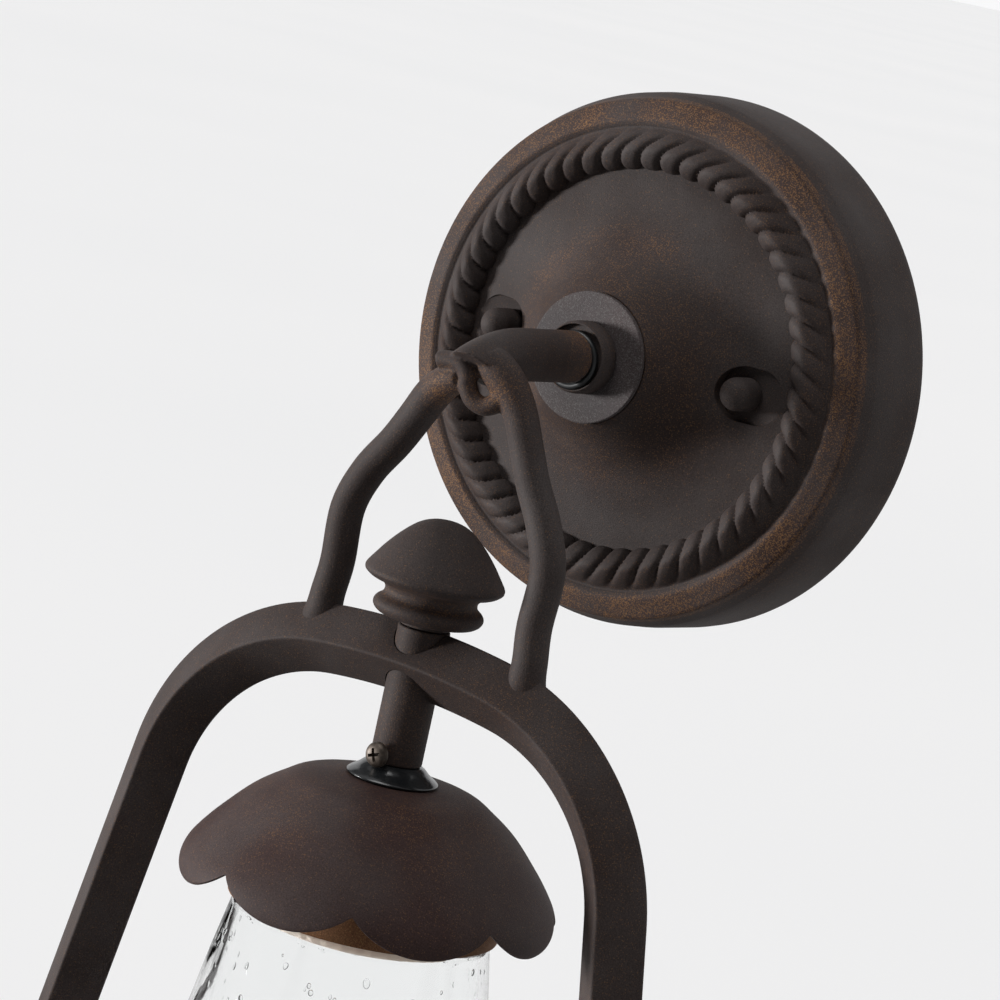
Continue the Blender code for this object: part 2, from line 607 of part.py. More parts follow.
def make_glass(lantern_axis, glass):
    shoulder = GLASS_TOP - 1.2 * MM
    ceiling = GLASS_TOP - 3.3 * MM
    hole = SOCKET_RADIUS + 2 * GAP
    lip = GLASS_BOTTOM - 0.8 * MM
    middle = (GLASS_TOP + GLASS_BOTTOM) / 2
    wall = GLASS_THICKNESS
    profile = [(hole, GLASS_TOP), (GLASS_TOP_RADIUS - 1.2 * MM, GLASS_TOP), (glass_radius(shoulder), shoulder)]
    profile += [(glass_radius(middle), middle), (glass_radius(GLASS_BOTTOM), GLASS_BOTTOM)]
    profile += [(glass_radius(lip) - wall / 2, lip), (glass_radius(GLASS_BOTTOM) - wall, GLASS_BOTTOM)]
    profile += [(glass_radius(middle) - wall, middle), (glass_radius(ceiling) - wall - 0.6 * MM, ceiling - 1.5 * MM)]
    profile += [(glass_radius(ceiling) - wall - 2.4 * MM, ceiling), (hole, ceiling)]
    add_solid("glass_shade", revolve(profile, 56), glass, lantern_axis)


def build():
    clear_scene()
    finish = make_material("rust_bronze", (0.055, 0.042, 0.038), 0.55, 0.5)
    washer_finish = make_material("worn_bronze", (0.11, 0.10, 0.10), 0.5, 0.5)
    black = make_material("black_rubber", (0.012, 0.013, 0.014), 0.25, 0.0)
    foam = make_material("gasket_foam", (0.05, 0.05, 0.05), 0.9, 0.0)
    steel = make_material("zinc_steel", (0.55, 0.55, 0.53), 0.35, 1.0)
    screw_finish = make_material("aged_brass_screw", (0.16, 0.12, 0.09), 0.4, 0.9)
    green = make_material("green_screw", (0.03, 0.22, 0.07), 0.4, 0.6)
    porcelain = make_material("porcelain", (0.78, 0.72, 0.66), 0.3, 0.0)
    brass = make_material("socket_brass", (0.62, 0.46, 0.22), 0.3, 1.0)
    ring_finish = make_material("socket_ring_phenolic", (0.70, 0.60, 0.52), 0.45, 0.0)
    glass = make_material("seeded_glass", (0.95, 0.97, 0.97), 0.03, 0.0, 1.0)

    wall_axis = add_empty("wall_axis", (0.0, 0.0, 0.0), (math.pi / 2, 0.0, 0.0))
    lantern_axis = add_empty("lantern_axis", (0.0, -LANTERN_DISTANCE, 0.0))

    make_canopy(wall_axis, finish)
    make_gasket(wall_axis, foam)
    make_crossbar(wall_axis, steel)
    make_ground_screw(wall_axis, green)
    make_studs(wall_axis, steel, finish)
    make_arm_hardware(wall_axis, finish, washer_finish, steel, black)
    arm_trimmer = make_arm(wall_axis, finish)
    frame_trimmer = make_frame(lantern_axis, finish)
    make_bail(lantern_axis, arm_trimmer, frame_trimmer, finish)
    make_finial(lantern_axis, finish)
    make_set_screw(lantern_axis, screw_finish)
    make_spigot(lantern_axis, steel)
    make_grommet(lantern_axis, black)
    make_cap(lantern_axis, finish)
    make_socket(lantern_axis, porcelain, brass, ring_finish)
    make_glass_holder(lantern_axis, finish)
    make_glass(lantern_axis, glass)


build()
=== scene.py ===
"""Looks for the outdoor wall lantern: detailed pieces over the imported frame, their materials, and the set.

Metres, +Z up, the wall at y = 0 and +Y into it. Profiles are in millimetres, from the CAD's sizes.
"""

import math
import random

import bmesh
import bpy
import numpy as np
from mathutils import Matrix, Quaternion, Vector


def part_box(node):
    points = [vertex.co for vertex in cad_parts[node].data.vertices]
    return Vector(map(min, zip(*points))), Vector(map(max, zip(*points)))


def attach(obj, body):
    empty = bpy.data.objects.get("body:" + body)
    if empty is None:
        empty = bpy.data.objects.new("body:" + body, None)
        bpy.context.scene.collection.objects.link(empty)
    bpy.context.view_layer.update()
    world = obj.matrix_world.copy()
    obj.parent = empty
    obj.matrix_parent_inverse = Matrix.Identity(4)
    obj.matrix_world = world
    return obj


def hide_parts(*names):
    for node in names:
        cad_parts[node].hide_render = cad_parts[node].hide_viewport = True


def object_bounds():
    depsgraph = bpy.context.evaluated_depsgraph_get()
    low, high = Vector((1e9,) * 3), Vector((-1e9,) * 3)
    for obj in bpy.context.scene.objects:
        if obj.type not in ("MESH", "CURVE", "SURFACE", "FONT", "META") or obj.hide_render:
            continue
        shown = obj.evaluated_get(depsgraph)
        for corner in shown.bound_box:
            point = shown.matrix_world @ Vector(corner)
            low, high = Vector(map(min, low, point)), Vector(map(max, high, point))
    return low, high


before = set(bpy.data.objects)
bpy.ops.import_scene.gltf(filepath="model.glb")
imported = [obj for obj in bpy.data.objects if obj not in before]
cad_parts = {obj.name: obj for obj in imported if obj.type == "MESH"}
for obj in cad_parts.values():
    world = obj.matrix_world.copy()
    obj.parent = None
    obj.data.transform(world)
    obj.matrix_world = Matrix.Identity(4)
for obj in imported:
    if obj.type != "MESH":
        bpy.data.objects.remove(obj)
CAD_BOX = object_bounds()
MM = 0.001
random.seed(11)

ROOT = "frame_and_canopy"
SHADE = "shade"


def middle(node):
    low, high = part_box(node)
    return (Vector(low) + Vector(high)) / 2


STEM = middle("frame_stem")
LANTERN = Vector((STEM.x, STEM.y, 0.0))
WALL_TURN = Matrix.Rotation(math.pi / 2, 4, "X")
LANTERN_PLACE = Matrix.Translation(LANTERN)
SCREW_PLACE = LANTERN_PLACE @ Matrix.Translation((0.0, 0.0, middle("shade_set_screw").z)) @ WALL_TURN
STUD_X = middle("fixture_stud_right").x
SIDES = ((-1, "left"), (1, "right"))


def stud_place(side):
    """Turns a profile to stand out from the wall, around the left (-1) or right (1) stud."""
    return WALL_TURN @ Matrix.Translation((side * STUD_X, 0.0, 0.0))


# ---------------------------------------------------------------- camera


def make_camera():
    """A long lens to the right of the lantern and a little above its middle, rolled as the view is."""
    data = bpy.data.cameras.new("camera")
    data.sensor_width = 36.0
    data.lens = 148.03
    data.clip_start = 0.05
    data.clip_end = 50.0
    camera = bpy.data.objects.new("camera", data)
    right = Vector((0.80243, 0.55827, 0.2108)).normalized()
    up = Vector((-0.25829, 0.00648, 0.96605)).normalized()
    back = right.cross(up).normalized()
    up = back.cross(right)
    turn = Matrix((right, up, back)).transposed()
    camera.matrix_world = Matrix.Translation((0.51549, -0.86473, 0.10838)) @ turn.to_4x4()
    bpy.context.scene.collection.objects.link(camera)
    bpy.context.scene.camera = camera


make_camera()


# ---------------------------------------------------------------- materials


class Nodes:
    """Short names for building one material's node tree."""

    def __init__(self, name):
        self.material = bpy.data.materials.new(name)
        self.material.use_nodes = True
        self.tree = self.material.node_tree
        self.shader = self.tree.nodes["Principled BSDF"]
        self.coordinates = self.tree.nodes.new("ShaderNodeTexCoord")

    def add(self, kind, **values):
        node = self.tree.nodes.new(kind)
        for name, value in values.items():
            setattr(node, name, value)
        return node

    def link(self, source, target):
        self.tree.links.new(source, target)

    def noise(self, scale, detail=2.0, roughness=0.5, stretch=None):
        node = self.add("ShaderNodeTexNoise")
        node.inputs["Scale"].default_value = scale
        node.inputs["Detail"].default_value = detail
        node.inputs["Roughness"].default_value = roughness
        self.link(self.place(stretch), node.inputs["Vector"])
        return node.outputs["Fac"]

    def cells(self, scale, output="Color"):
        node = self.add("ShaderNodeTexVoronoi")
        node.inputs["Scale"].default_value = scale
        self.link(self.place(None), node.inputs["Vector"])
        return node.outputs[output]

    def place(self, stretch):
        if stretch is None:
            return self.coordinates.outputs["Object"]
        node = self.add("ShaderNodeMapping")
        node.inputs["Scale"].default_value = stretch
        self.link(self.coordinates.outputs["Object"], node.inputs["Vector"])
        return node.outputs["Vector"]

    def spread(self, value, low, high, to_low=0.0, to_high=1.0):
        node = self.add("ShaderNodeMapRange")
        node.inputs["From Min"].default_value = low
        node.inputs["From Max"].default_value = high
        node.inputs["To Min"].default_value = to_low
        node.inputs["To Max"].default_value = to_high
        self.link(value, node.inputs["Value"])
        return node.outputs["Result"]

    def math(self, operation, first, second):
        node = self.add("ShaderNodeMath", operation=operation)
        for socket, value in zip(node.inputs, (first, second)):
            if isinstance(value, (int, float)):
                socket.default_value = value
            else:
                self.link(value, socket)
        return node.outputs["Value"]

    def mix(self, factor, first, second, blend="MIX"):
        node = self.add("ShaderNodeMix", data_type="RGBA", blend_type=blend)
        sockets = [s for s in node.inputs if s.enabled]
        for socket, value in zip(sockets, (factor, first, second)):
            if isinstance(value, (int, float)):
                socket.default_value = value
            elif isinstance(value, tuple):
                socket.default_value = (*value, 1.0)
            else:
                self.link(value, socket)
        return [s for s in node.outputs if s.enabled][0]

    def attribute(self, name):
        return self.add("ShaderNodeAttribute", attribute_name=name).outputs["Fac"]

    def bump(self, height, distance, strength=1.0, after=None):
        node = self.add("ShaderNodeBump")
        node.inputs["Strength"].default_value = strength
        node.inputs["Distance"].default_value = distance
        self.link(height, node.inputs["Height"])
        if after is not None:
            self.link(after, node.inputs["Normal"])
        return node.outputs["Normal"]

    def finish(self, colour=None, roughness=None, normal=None, **values):
        for name, value in (("Base Color", colour), ("Roughness", roughness), ("Normal", normal)):
            if value is None:
                continue
            if isinstance(value, tuple):
                self.shader.inputs[name].default_value = (*value, 1.0)
            elif isinstance(value, (int, float)):
                self.shader.inputs[name].default_value = value
            else:
                self.link(value, self.shader.inputs[name])
        for name, value in values.items():
            self.shader.inputs[name.replace("_", " ")].default_value = value
        return self.material


def powder_coat(name, base, light, rust, rust_base, rust_reach, specular=0.10):
    """A fine-grained powder coat in patches from base to light. The share of rust-coloured specks is
    rust_base plus rust_reach times the 'rust' attribute, and many specks together also stain the coat."""
    n = Nodes(name)
    patches = n.noise(38.0, 3.0)
    grain = n.noise(3300.0, 2.0, 0.6)
    fine = n.noise(5200.0, 1.0)
    body = n.mix(n.spread(patches, 0.35, 0.65), base, light)
    body = n.mix(n.spread(grain, 0.3, 0.7), n.mix(1.0, body, (0.66, 0.66, 0.66), "MULTIPLY"),
                 n.mix(1.0, body, (1.4, 1.4, 1.4), "MULTIPLY"))
    reach = n.math("ADD", n.math("MULTIPLY", n.attribute("rust"), rust_reach), rust_base)
    reach = n.math("MULTIPLY", reach, n.spread(n.noise(55.0, 4.0, 0.6), 0.3, 0.7, 0.3, 1.6))
    stained = n.mix(n.math("MULTIPLY", reach, 0.9), body, n.mix(1.0, body, (1.45, 0.80, 0.62), "MULTIPLY"))
    cell = n.add("ShaderNodeSeparateColor")
    n.link(n.cells(4500.0), cell.inputs["Color"])
    spot = n.math("LESS_THAN", cell.outputs["Red"], reach)
    tint = n.mix(cell.outputs["Green"], rust, (rust[0] * 1.9, rust[1] * 2.1, rust[2] * 2.0))
    strong = n.spread(reach, 0.10, 0.50, 0.30, 0.75)
    body = n.mix(n.math("MULTIPLY", spot, strong), stained, tint)
    rough = n.spread(grain, 0.3, 0.7, 0.55, 0.72)
    normal = n.bump(fine, 0.00010, 0.4, n.bump(grain, 0.00018, 0.5))
    return n.finish(body, rough, normal, Specular_IOR_Level=specular)


RUST = (0.105, 0.050, 0.022)
BRONZE = powder_coat("rust_bronze_coat", (0.0265, 0.0195, 0.0178), (0.040, 0.0335, 0.0322), RUST, 0.012, 0.34)
CAP_COAT = powder_coat("cap_bronze_coat", (0.032, 0.0195, 0.0182), (0.043, 0.0325, 0.0312), RUST, 0.02, 0.30)
HOLDER_COAT = powder_coat("holder_bronze_coat", (0.110, 0.055, 0.026), (0.150, 0.080, 0.040),
                          (0.20, 0.10, 0.045), 0.10, 0.30)
WASHER_COAT = powder_coat("worn_bronze_coat", (0.040, 0.036, 0.037), (0.052, 0.047, 0.049),
                          (0.085, 0.078, 0.077), 0.16, 0.1, 0.14)


def gloss_black(name, rough):
    n = Nodes(name)
    grain = n.noise(900.0, 2.0)
    colour = n.mix(n.spread(n.noise(150.0), 0.4, 0.6), (0.008, 0.009, 0.010), (0.014, 0.015, 0.016))
    return n.finish(colour, n.spread(grain, 0.3, 0.7, rough, rough + 0.1), n.bump(grain, 0.00004, 0.4))


def zinc():
    n = Nodes("zinc_plate")
    streaks = n.noise(420.0, 3.0, 0.6, (1.0, 0.12, 1.0))
    patches = n.noise(90.0, 3.0)
    colour = n.mix(n.spread(patches, 0.35, 0.65), (0.50, 0.50, 0.48), (0.62, 0.62, 0.60))
    rough = n.spread(streaks, 0.3, 0.7, 0.26, 0.42)
    return n.finish(colour, rough, n.bump(streaks, 0.00004, 0.5), Metallic=1.0)


def foam():
    n = Nodes("gasket_foam_cells")
    cells = n.cells(1400.0, "Distance")
    colour = n.mix(n.spread(cells, 0.0, 0.6), (0.018, 0.018, 0.019), (0.05, 0.05, 0.052))
    return n.finish(colour, 0.95, n.bump(cells, 0.0003, 0.8))


def patchy_metal(name, scale, detail_roughness, dark, light, rough_range, bump, metallic):
    """Metal that is dark and smooth in some patches, and light and rougher in others."""
    n = Nodes(name)
    patches = n.noise(scale, 3.0, detail_roughness)
    colour = n.mix(n.spread(patches, 0.35, 0.65), dark, light)
    rough = n.spread(patches, 0.3, 0.7, *rough_range)
    return n.finish(colour, rough, n.bump(patches, *bump), Metallic=metallic)


def porcelain():
    n = Nodes("glazed_porcelain")
    clouds = n.noise(60.0, 3.0)
    streaks = n.noise(300.0, 2.0, 0.5, (0.15, 0.15, 1.0))
    # The peach tint of this colour is painted warm reflection; the porcelain itself is off-white.
    colour = n.mix(n.spread(clouds, 0.35, 0.65), (0.74, 0.66, 0.58), (0.84, 0.78, 0.71))
    colour = n.mix(n.spread(streaks, 0.45, 0.75, 0.0, 0.35), colour, (0.62, 0.48, 0.38))
    rough = n.spread(clouds, 0.3, 0.7, 0.2, 0.32)
    return n.finish(colour, rough, n.bump(clouds, 0.00004, 0.5), Coat_Weight=0.4)


def ring_plastic():
    n = Nodes("socket_ring_plastic")
    streaks = n.noise(340.0, 2.0, 0.5, (0.15, 0.15, 1.0))
    colour = n.mix(n.spread(streaks, 0.35, 0.7), (0.74, 0.63, 0.53), (0.56, 0.42, 0.33))
    return n.finish(colour, n.spread(streaks, 0.3, 0.7, 0.3, 0.45), n.bump(streaks, 0.00005, 0.5))


def clear_glass():
    n = Nodes("seeded_glass_clear")
    waves = n.noise(42.0, 2.0, 0.4, (1.0, 1.0, 0.35))
    ripple = n.noise(160.0, 2.0, 0.5, (1.0, 1.0, 0.5))
    normal = n.bump(waves, 0.0009, 0.5, n.bump(ripple, 0.00012, 0.5))
    rough = n.spread(ripple, 0.3, 0.7, 0.0, 0.012)
    return n.finish((0.985, 0.992, 0.990), rough, normal, Transmission_Weight=1.0, IOR=1.30)


GLOSS_BLACK = gloss_black("gloss_black_rubber", 0.14)
SEAL_BLACK = gloss_black("seal_ring_rubber", 0.34)
ZINC = zinc()
FOAM = foam()
SCREW_METAL = patchy_metal("aged_screw_metal", 700.0, 0.6, (0.035, 0.026, 0.020), (0.085, 0.066, 0.052),
                           (0.40, 0.58), (0.00006, 0.6), 0.6)
GREEN = patchy_metal("ground_screw_green", 500.0, 0.5, (0.02, 0.16, 0.05), (0.045, 0.27, 0.09),
                     (0.30, 0.45), (0.00005, 0.5), 0.8)
PORCELAIN = porcelain()
RING_PLASTIC = ring_plastic()
BRASS = patchy_metal("socket_brass_sheet", 260.0, 0.5, (0.56, 0.40, 0.17), (0.70, 0.53, 0.28),
                     (0.20, 0.36), (0.00004, 0.5), 1.0)
GLASS = clear_glass()


# ---------------------------------------------------------------- shapes

SHARP = 32.0  # degrees: edges sharper than this aren't smoothed
PLAIN_RUST = 0.15


def refine(points, steps):
    """A smooth open curve through points of any number of dimensions, with `steps` points in each span."""
    points = [np.array(p, float) for p in points]
    count = len(points)
    path = []
    for index in range(count - 1):
        b, c = points[index], points[index + 1]
        a = points[index - 1] if index else b * 2 - c
        d = points[index + 2] if index + 2 < count else c * 2 - b
        for step in range(steps):
            t = step / steps
            path.append(0.5 * (2 * b + (c - a) * t + (2 * a - 5 * b + 4 * c - d) * t * t
                               + (3 * b - a - 3 * c + d) * t**3))
    path.append(points[-1])
    return path


def closed_mesh(name, verts, faces, place):
    """A mesh moved by a matrix, with its faces turned outwards."""
    mesh = bpy.data.meshes.new(name)
    mesh.from_pydata([tuple(v) for v in verts], [], faces)
    mesh.transform(place)
    bm = bmesh.new()
    bm.from_mesh(mesh)
    bmesh.ops.recalc_face_normals(bm, faces=bm.faces)
    bm.to_mesh(mesh)
    bm.free()
    return mesh


def add_piece(name, verts, faces, material, body, nodes, place, sharp=SHARP, rust=None):
    """A closed mesh that rides on a body and stands for CAD nodes. rust holds one value for each vertex."""
    mesh = closed_mesh(name, verts, faces, place)
    if rust:
        layer = mesh.attributes.new("rust", "FLOAT", "POINT")
        layer.data.foreach_set("value", rust)
    mesh.shade_smooth()
    mesh.set_sharp_from_angle(angle=math.radians(sharp))
    mesh.materials.append(material)
    piece = bpy.data.objects.new(name, mesh)
    bpy.context.scene.collection.objects.link(piece)
    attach(piece, body)
    if nodes:
        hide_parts(*nodes)
    return piece


def grid_faces(rows, columns, closed_rows=False):
    faces = []
    last = rows if closed_rows else rows - 1
    for row in range(last):
        for column in range(columns):
            step = (column + 1) % columns
            low, high = row * columns, ((row + 1) % rows) * columns
            faces.append((low + column, low + step, high + step, high + column))
    return faces


def turned(name, profile, segments, material, body, nodes, place, closed=True, shape=None, rust=None,
           sharp=SHARP):
    """Turns (radius, height) points in mm about +Z. An open profile starts and ends on the axis.
    shape(radius, height, angle) moves a point, and rust(radius, height, angle) fills the 'rust' attribute."""
    verts, values = [], []
    inner = profile if closed else profile[1:-1]
    for radius, height in inner:
        for index in range(segments):
            angle = math.tau * index / segments
            r, h = shape(radius, height, angle) if shape else (radius, height)
            verts.append((r * MM * math.cos(angle), r * MM * math.sin(angle), h * MM))
            values.append(rust(r, h, angle) if rust else PLAIN_RUST)
    faces = grid_faces(len(inner), segments, closed)
    if not closed:
        for tip, row in ((profile[0], 0), (profile[-1], len(inner) - 1)):
            verts.append((0.0, 0.0, tip[1] * MM))
            values.append(rust(0.0, tip[1], 0.0) if rust else PLAIN_RUST)
            for index in range(segments):
                step = (index + 1) % segments
                faces.append((row * segments + index, row * segments + step, len(verts) - 1))
    return add_piece(name, verts, faces, material, body, nodes, place, sharp, values)


def rounded(points, radius, steps=4):
    """Rounds the corners of a closed polygon of (radius, height) points in mm. radius may be one number
    or one for each corner."""
    count = len(points)
    radii = [radius] * count if isinstance(radius, (int, float)) else radius
    result = []
    for index, (point, size) in enumerate(zip(points, radii)):
        point = Vector(point)
        before = Vector(points[index - 1]) - point
        after = Vector(points[(index + 1) % count]) - point
        reach = min(size, before.length * 0.45, after.length * 0.45)
        if reach <= 0.0:
            result.append(tuple(point))
            continue
        start = point + before.normalized() * reach
        end = point + after.normalized() * reach
        for step in range(steps + 1):
            t = step / steps
            place = start * (1 - t) ** 2 + point * 2 * t * (1 - t) + end * t * t
            result.append(tuple(place))
    return result


def swept(path, radii, sides):
    """Rings of a round bar along a path of Vectors, with one radius for each point."""
    verts = []
    tangent = (path[1] - path[0]).normalized()
    across = tangent.orthogonal().normalized()
    for index, point in enumerate(path):
        turned_to = (path[min(index + 1, len(path) - 1)] - path[max(index - 1, 0)]).normalized()
        across = (tangent.rotation_difference(turned_to) @ across).normalized()
        tangent = turned_to
        for side in range(sides):
            spoke = Quaternion(tangent, math.tau * side / sides) @ across
            verts.append(point + spoke * radii[index])
    faces = grid_faces(len(path), sides)
    last = (len(path) - 1) * sides
    faces.append(tuple(range(sides)))
    faces.append(tuple(range(last, last + sides)))
    return verts, faces


def step_up(low, high, value):
    """Rises smoothly from 0 at low to 1 at high."""
    t = min(max((value - low) / (high - low), 0.0), 1.0)
    return t * t * (3.0 - 2.0 * t)


def band(low, high, soft, value):
    """1 from low to high, and falling to 0 over soft on each side."""
    return step_up(low - soft, low, value) * (1.0 - step_up(high, high + soft, value))


def along(start, stop, count):
    """count evenly spaced numbers from start, without stop itself."""
    return [start + (stop - start) * k / count for k in range(count)]


def paint_rust(piece, rust):
    """Fills the 'rust' attribute from a function of the point's place in the world, in metres."""
    layer = piece.data.attributes.get("rust") or piece.data.attributes.new("rust", "FLOAT", "POINT")
    for vert, item in zip(piece.data.vertices, layer.data):
        item.value = rust(vert.co)


def carve(piece, verts, faces, place, operation="DIFFERENCE"):
    """Cuts a closed mesh from a piece, or joins it to the piece, and applies the result."""
    cutter = bpy.data.objects.new("cutter", closed_mesh("cutter", verts, faces, place))
    bpy.context.scene.collection.objects.link(cutter)
    modifier = piece.modifiers.new("carve", "BOOLEAN")
    modifier.operation = operation
    modifier.solver = "EXACT"
    modifier.object = cutter
    graph = bpy.context.evaluated_depsgraph_get()
    result = bpy.data.meshes.new_from_object(piece.evaluated_get(graph))
    piece.modifiers.clear()
    piece.data = result
    bpy.data.objects.remove(cutter)
    result.shade_smooth()
    result.set_sharp_from_angle(angle=math.radians(SHARP))


def stacked(rings, sides):
    """The points and faces of a closed solid made of rings with the same number of points."""
    verts = [point for ring in rings for point in ring]
    faces = grid_faces(len(rings), sides)
    faces.append(tuple(range(sides)))
    faces.append(tuple(range(len(verts) - sides, len(verts))))
    return verts, faces


def disc_ring(radius, height, sides=48):
    turns = [math.tau * k / sides for k in range(sides)]
    return [(radius * MM * math.cos(turn), radius * MM * math.sin(turn), height * MM) for turn in turns]


# ---------------------------------------------------------------- set

FLOOR_REACH = 60.0
FLOOR_DROP = 0.05


def make_stage():
    """A pale floor, and a world that is dim in front of the wall and bright behind it, as a studio is. What
    the camera sees directly or through glass is evenly pale. The floor casts no shadow, because the key
    light comes from just below the horizon."""
    n = Nodes("pale_floor_paint")
    rays = n.add("ShaderNodeLightPath")
    seen = n.math("MAXIMUM", rays.outputs["Is Camera Ray"], rays.outputs["Is Transmission Ray"])
    paint = n.mix(n.spread(n.noise(0.9, 2.0), 0.3, 0.7), (0.855, 0.855, 0.855), (0.875, 0.872, 0.870))
    n.finish(n.mix(seen, (0.45, 0.45, 0.45), paint), 0.9)
    mesh = bpy.data.meshes.new("floor")
    corners = [(x * FLOOR_REACH, y * FLOOR_REACH, 0) for x, y in ((-1, -1), (1, -1), (1, 1), (-1, 1))]
    mesh.from_pydata(corners, [], [(0, 1, 2, 3)])
    mesh.materials.append(n.material)
    floor = bpy.data.objects.new("floor", mesh)
    floor.location.z = CAD_BOX[0][2] - FLOOR_DROP
    floor.visible_shadow = False
    bpy.context.scene.collection.objects.link(floor)
    world = bpy.data.worlds.new("studio")
    world.use_nodes = True
    tree = world.node_tree
    sky = tree.nodes["Background"]
    sky.inputs["Color"].default_value = (0.95, 0.95, 0.96, 1.0)
    way = tree.nodes.new("ShaderNodeTexCoord")
    parts = tree.nodes.new("ShaderNodeSeparateXYZ")
    ramp = tree.nodes.new("ShaderNodeMapRange")
    for name, value in (("From Min", -0.5), ("From Max", 0.25), ("To Min", 0.12), ("To Max", 0.95)):
        ramp.inputs[name].default_value = value
    path = tree.nodes.new("ShaderNodeLightPath")
    seen = tree.nodes.new("ShaderNodeMath")
    seen.operation = "MAXIMUM"
    pale = tree.nodes.new("ShaderNodeMath")
    pale.operation = "MAXIMUM"
    tree.links.new(way.outputs["Generated"], parts.inputs["Vector"])
    tree.links.new(parts.outputs["Y"], ramp.inputs["Value"])
    tree.links.new(ramp.outputs["Result"], pale.inputs[0])
    tree.links.new(path.outputs["Is Camera Ray"], seen.inputs[0])
    tree.links.new(path.outputs["Is Transmission Ray"], seen.inputs[1])
    tree.links.new(seen.outputs["Value"], pale.inputs[1])
    tree.links.new(pale.outputs["Value"], sky.inputs["Strength"])
    bpy.context.scene.world = world


def add_light(name, way, strength, softness):
    """A studio light from far away, which shines along way. softness is its width in degrees."""
    data = bpy.data.lights.new(name, "SUN")
    data.energy = strength
    data.angle = math.radians(softness)
    light = bpy.data.objects.new(name, data)
    light.rotation_mode = "QUATERNION"
    light.rotation_quaternion = Vector(way).to_track_quat("-Z", "Y")
    bpy.context.scene.collection.objects.link(light)


make_stage()
add_light("key", (1.0, 0.62, 0.12), 5.6, 12.0)
add_light("top_fill", (0.15, 0.5, -1.0), 1.5, 40.0)
bpy.context.scene.view_settings.view_transform = "Standard"


# ---------------------------------------------------------------- canopy and its hardware

# Profiles are (radius, height above the wall) in mm.
ROPE_STRANDS = 54
ROPE_CENTRE = Vector((50.2, 26.5))
POCKET_FLOOR = 28.2
POCKET_RADIUS, POCKET_REACH = 6.7, 3.0
BOSS_RADIUS = 8.7
STUD_BORE = 2.3
NUT_RADIUS, NUT_CENTRE = 4.0, 33.8
SEAL_RADIUS, SEAL_SECTION = 6.25, 0.85
THREAD_DEPTH = 0.36  # of the pitch
DOME = [(15.9, 45.1), (22.1, 38.2), (28.3, 33.0), (36.0, 29.9), (45.5, 27.9)]
ROPE = [(46.4, 26.2), (45.5, 27.3), (45.9, 29.3), (47.5, 31.2), (50.2, 32.3), (52.5, 31.2), (54.2, 29.2),
        (55.5, 27.7)]
RIM = [(56.5, 27.9), (57.4, 28.1), (58.5, 27.9), (60.0, 27.4), (61.4, 26.9), (62.2, 26.5), (62.7, 25.9),
       (63.2, 24.4), (64.5, 21.0)]
SHELL = [(63.0, 0.0), (61.4, 23.4), (45.0, 25.4), (34.6, 27.6), (26.6, 30.7), (14.2, 42.7), (5.3, 42.7)]


def rope_strands(radius, height, angle):
    """Sinks the grooves between the rope's strands. Each groove leans by about a pitch from edge to edge."""
    if height < 25.5 or not 45.4 < radius < 55.6:
        return radius, height
    depth = 1.35 * (1.0 - step_up(52.0, 56.5, radius))
    across = (54.2 - radius) / 8.2
    turn = angle * ROPE_STRANDS / math.tau - (1.5 * across - 0.6 * across**2)
    sink = depth * abs(2.0 * (turn % 1.0) - 1.0) ** 3.4
    out = (Vector((radius, height)) - ROPE_CENTRE).normalized()
    return radius - out.x * sink, height - out.y * sink


def canopy_rust(point):
    radius = math.hypot(point.x, point.z) / MM
    if -point.y < 24.0 * MM:
        return 0.14
    return 0.07 + 0.15 * band(52.0, 57.0, 2.5, radius) + 0.85 * band(58.0, 63.0, 2.0, radius) \
        + 0.3 * band(15.0, 28.0, 8.0, radius)


def pocket_ring(inset, height, side):
    """The outline of a nut's pocket, drawn out towards the rope."""
    radius = POCKET_RADIUS - inset
    ring = []
    for k in range(48):
        turn = math.tau * (k + 0.5) / 48
        reach = POCKET_REACH if math.cos(turn) > 0.0 else 0.0
        ring.append((side * (radius * math.cos(turn) + reach) * MM, radius * math.sin(turn) * MM, height * MM))
    return ring


def make_canopy():
    """The dome with its two pockets, then the rope and rim around it, as one piece."""
    dome = [(5.3, 45.1), (15.5, 45.1)] + refine(DOME, 7) + [(49.0, 27.6), (49.0, 25.6)] + SHELL[2:]
    canopy = turned("canopy_cast", [tuple(point) for point in dome], 144, BRONZE, ROOT, ["canopy"], WALL_TURN)
    for side in (-1, 1):
        place = stud_place(side)
        boss = [disc_ring(BOSS_RADIUS, 25.8), disc_ring(BOSS_RADIUS, 27.6)]
        carve(canopy, *stacked(boss, 48), place, "UNION")
        floors = ((0.7, POCKET_FLOOR), (0.2, POCKET_FLOOR + 0.15), (0.0, POCKET_FLOOR + 0.6), (0.0, 46.0))
        pocket = [pocket_ring(inset, height, side) for inset, height in floors]
        carve(canopy, *stacked(pocket, 48), place)
        bore = [disc_ring(STUD_BORE, 24.0, 24), disc_ring(STUD_BORE, 29.5, 24)]
        carve(canopy, *stacked(bore, 24), place)
    outside = refine(ROPE + RIM, 5)
    outside += [(65.0, 15.0), (65.2, 8.0), (65.35, 2.0), (65.3, 0.5), (65.0, 0.05), (64.2, 0.0)]
    inside = [SHELL[0], (62.6, 6.0), (62.0, 14.0), SHELL[1], (48.0, 25.1)]
    profile = [tuple(point) for point in outside + inside]
    rim = turned("canopy_rim", profile, ROPE_STRANDS * 12, BRONZE, ROOT, (), WALL_TURN, shape=rope_strands)
    bm = bmesh.new()
    bm.from_mesh(canopy.data)
    bm.from_mesh(rim.data)
    bm.to_mesh(canopy.data)
    bm.free()
    bpy.data.objects.remove(rim)
    paint_rust(canopy, canopy_rust)


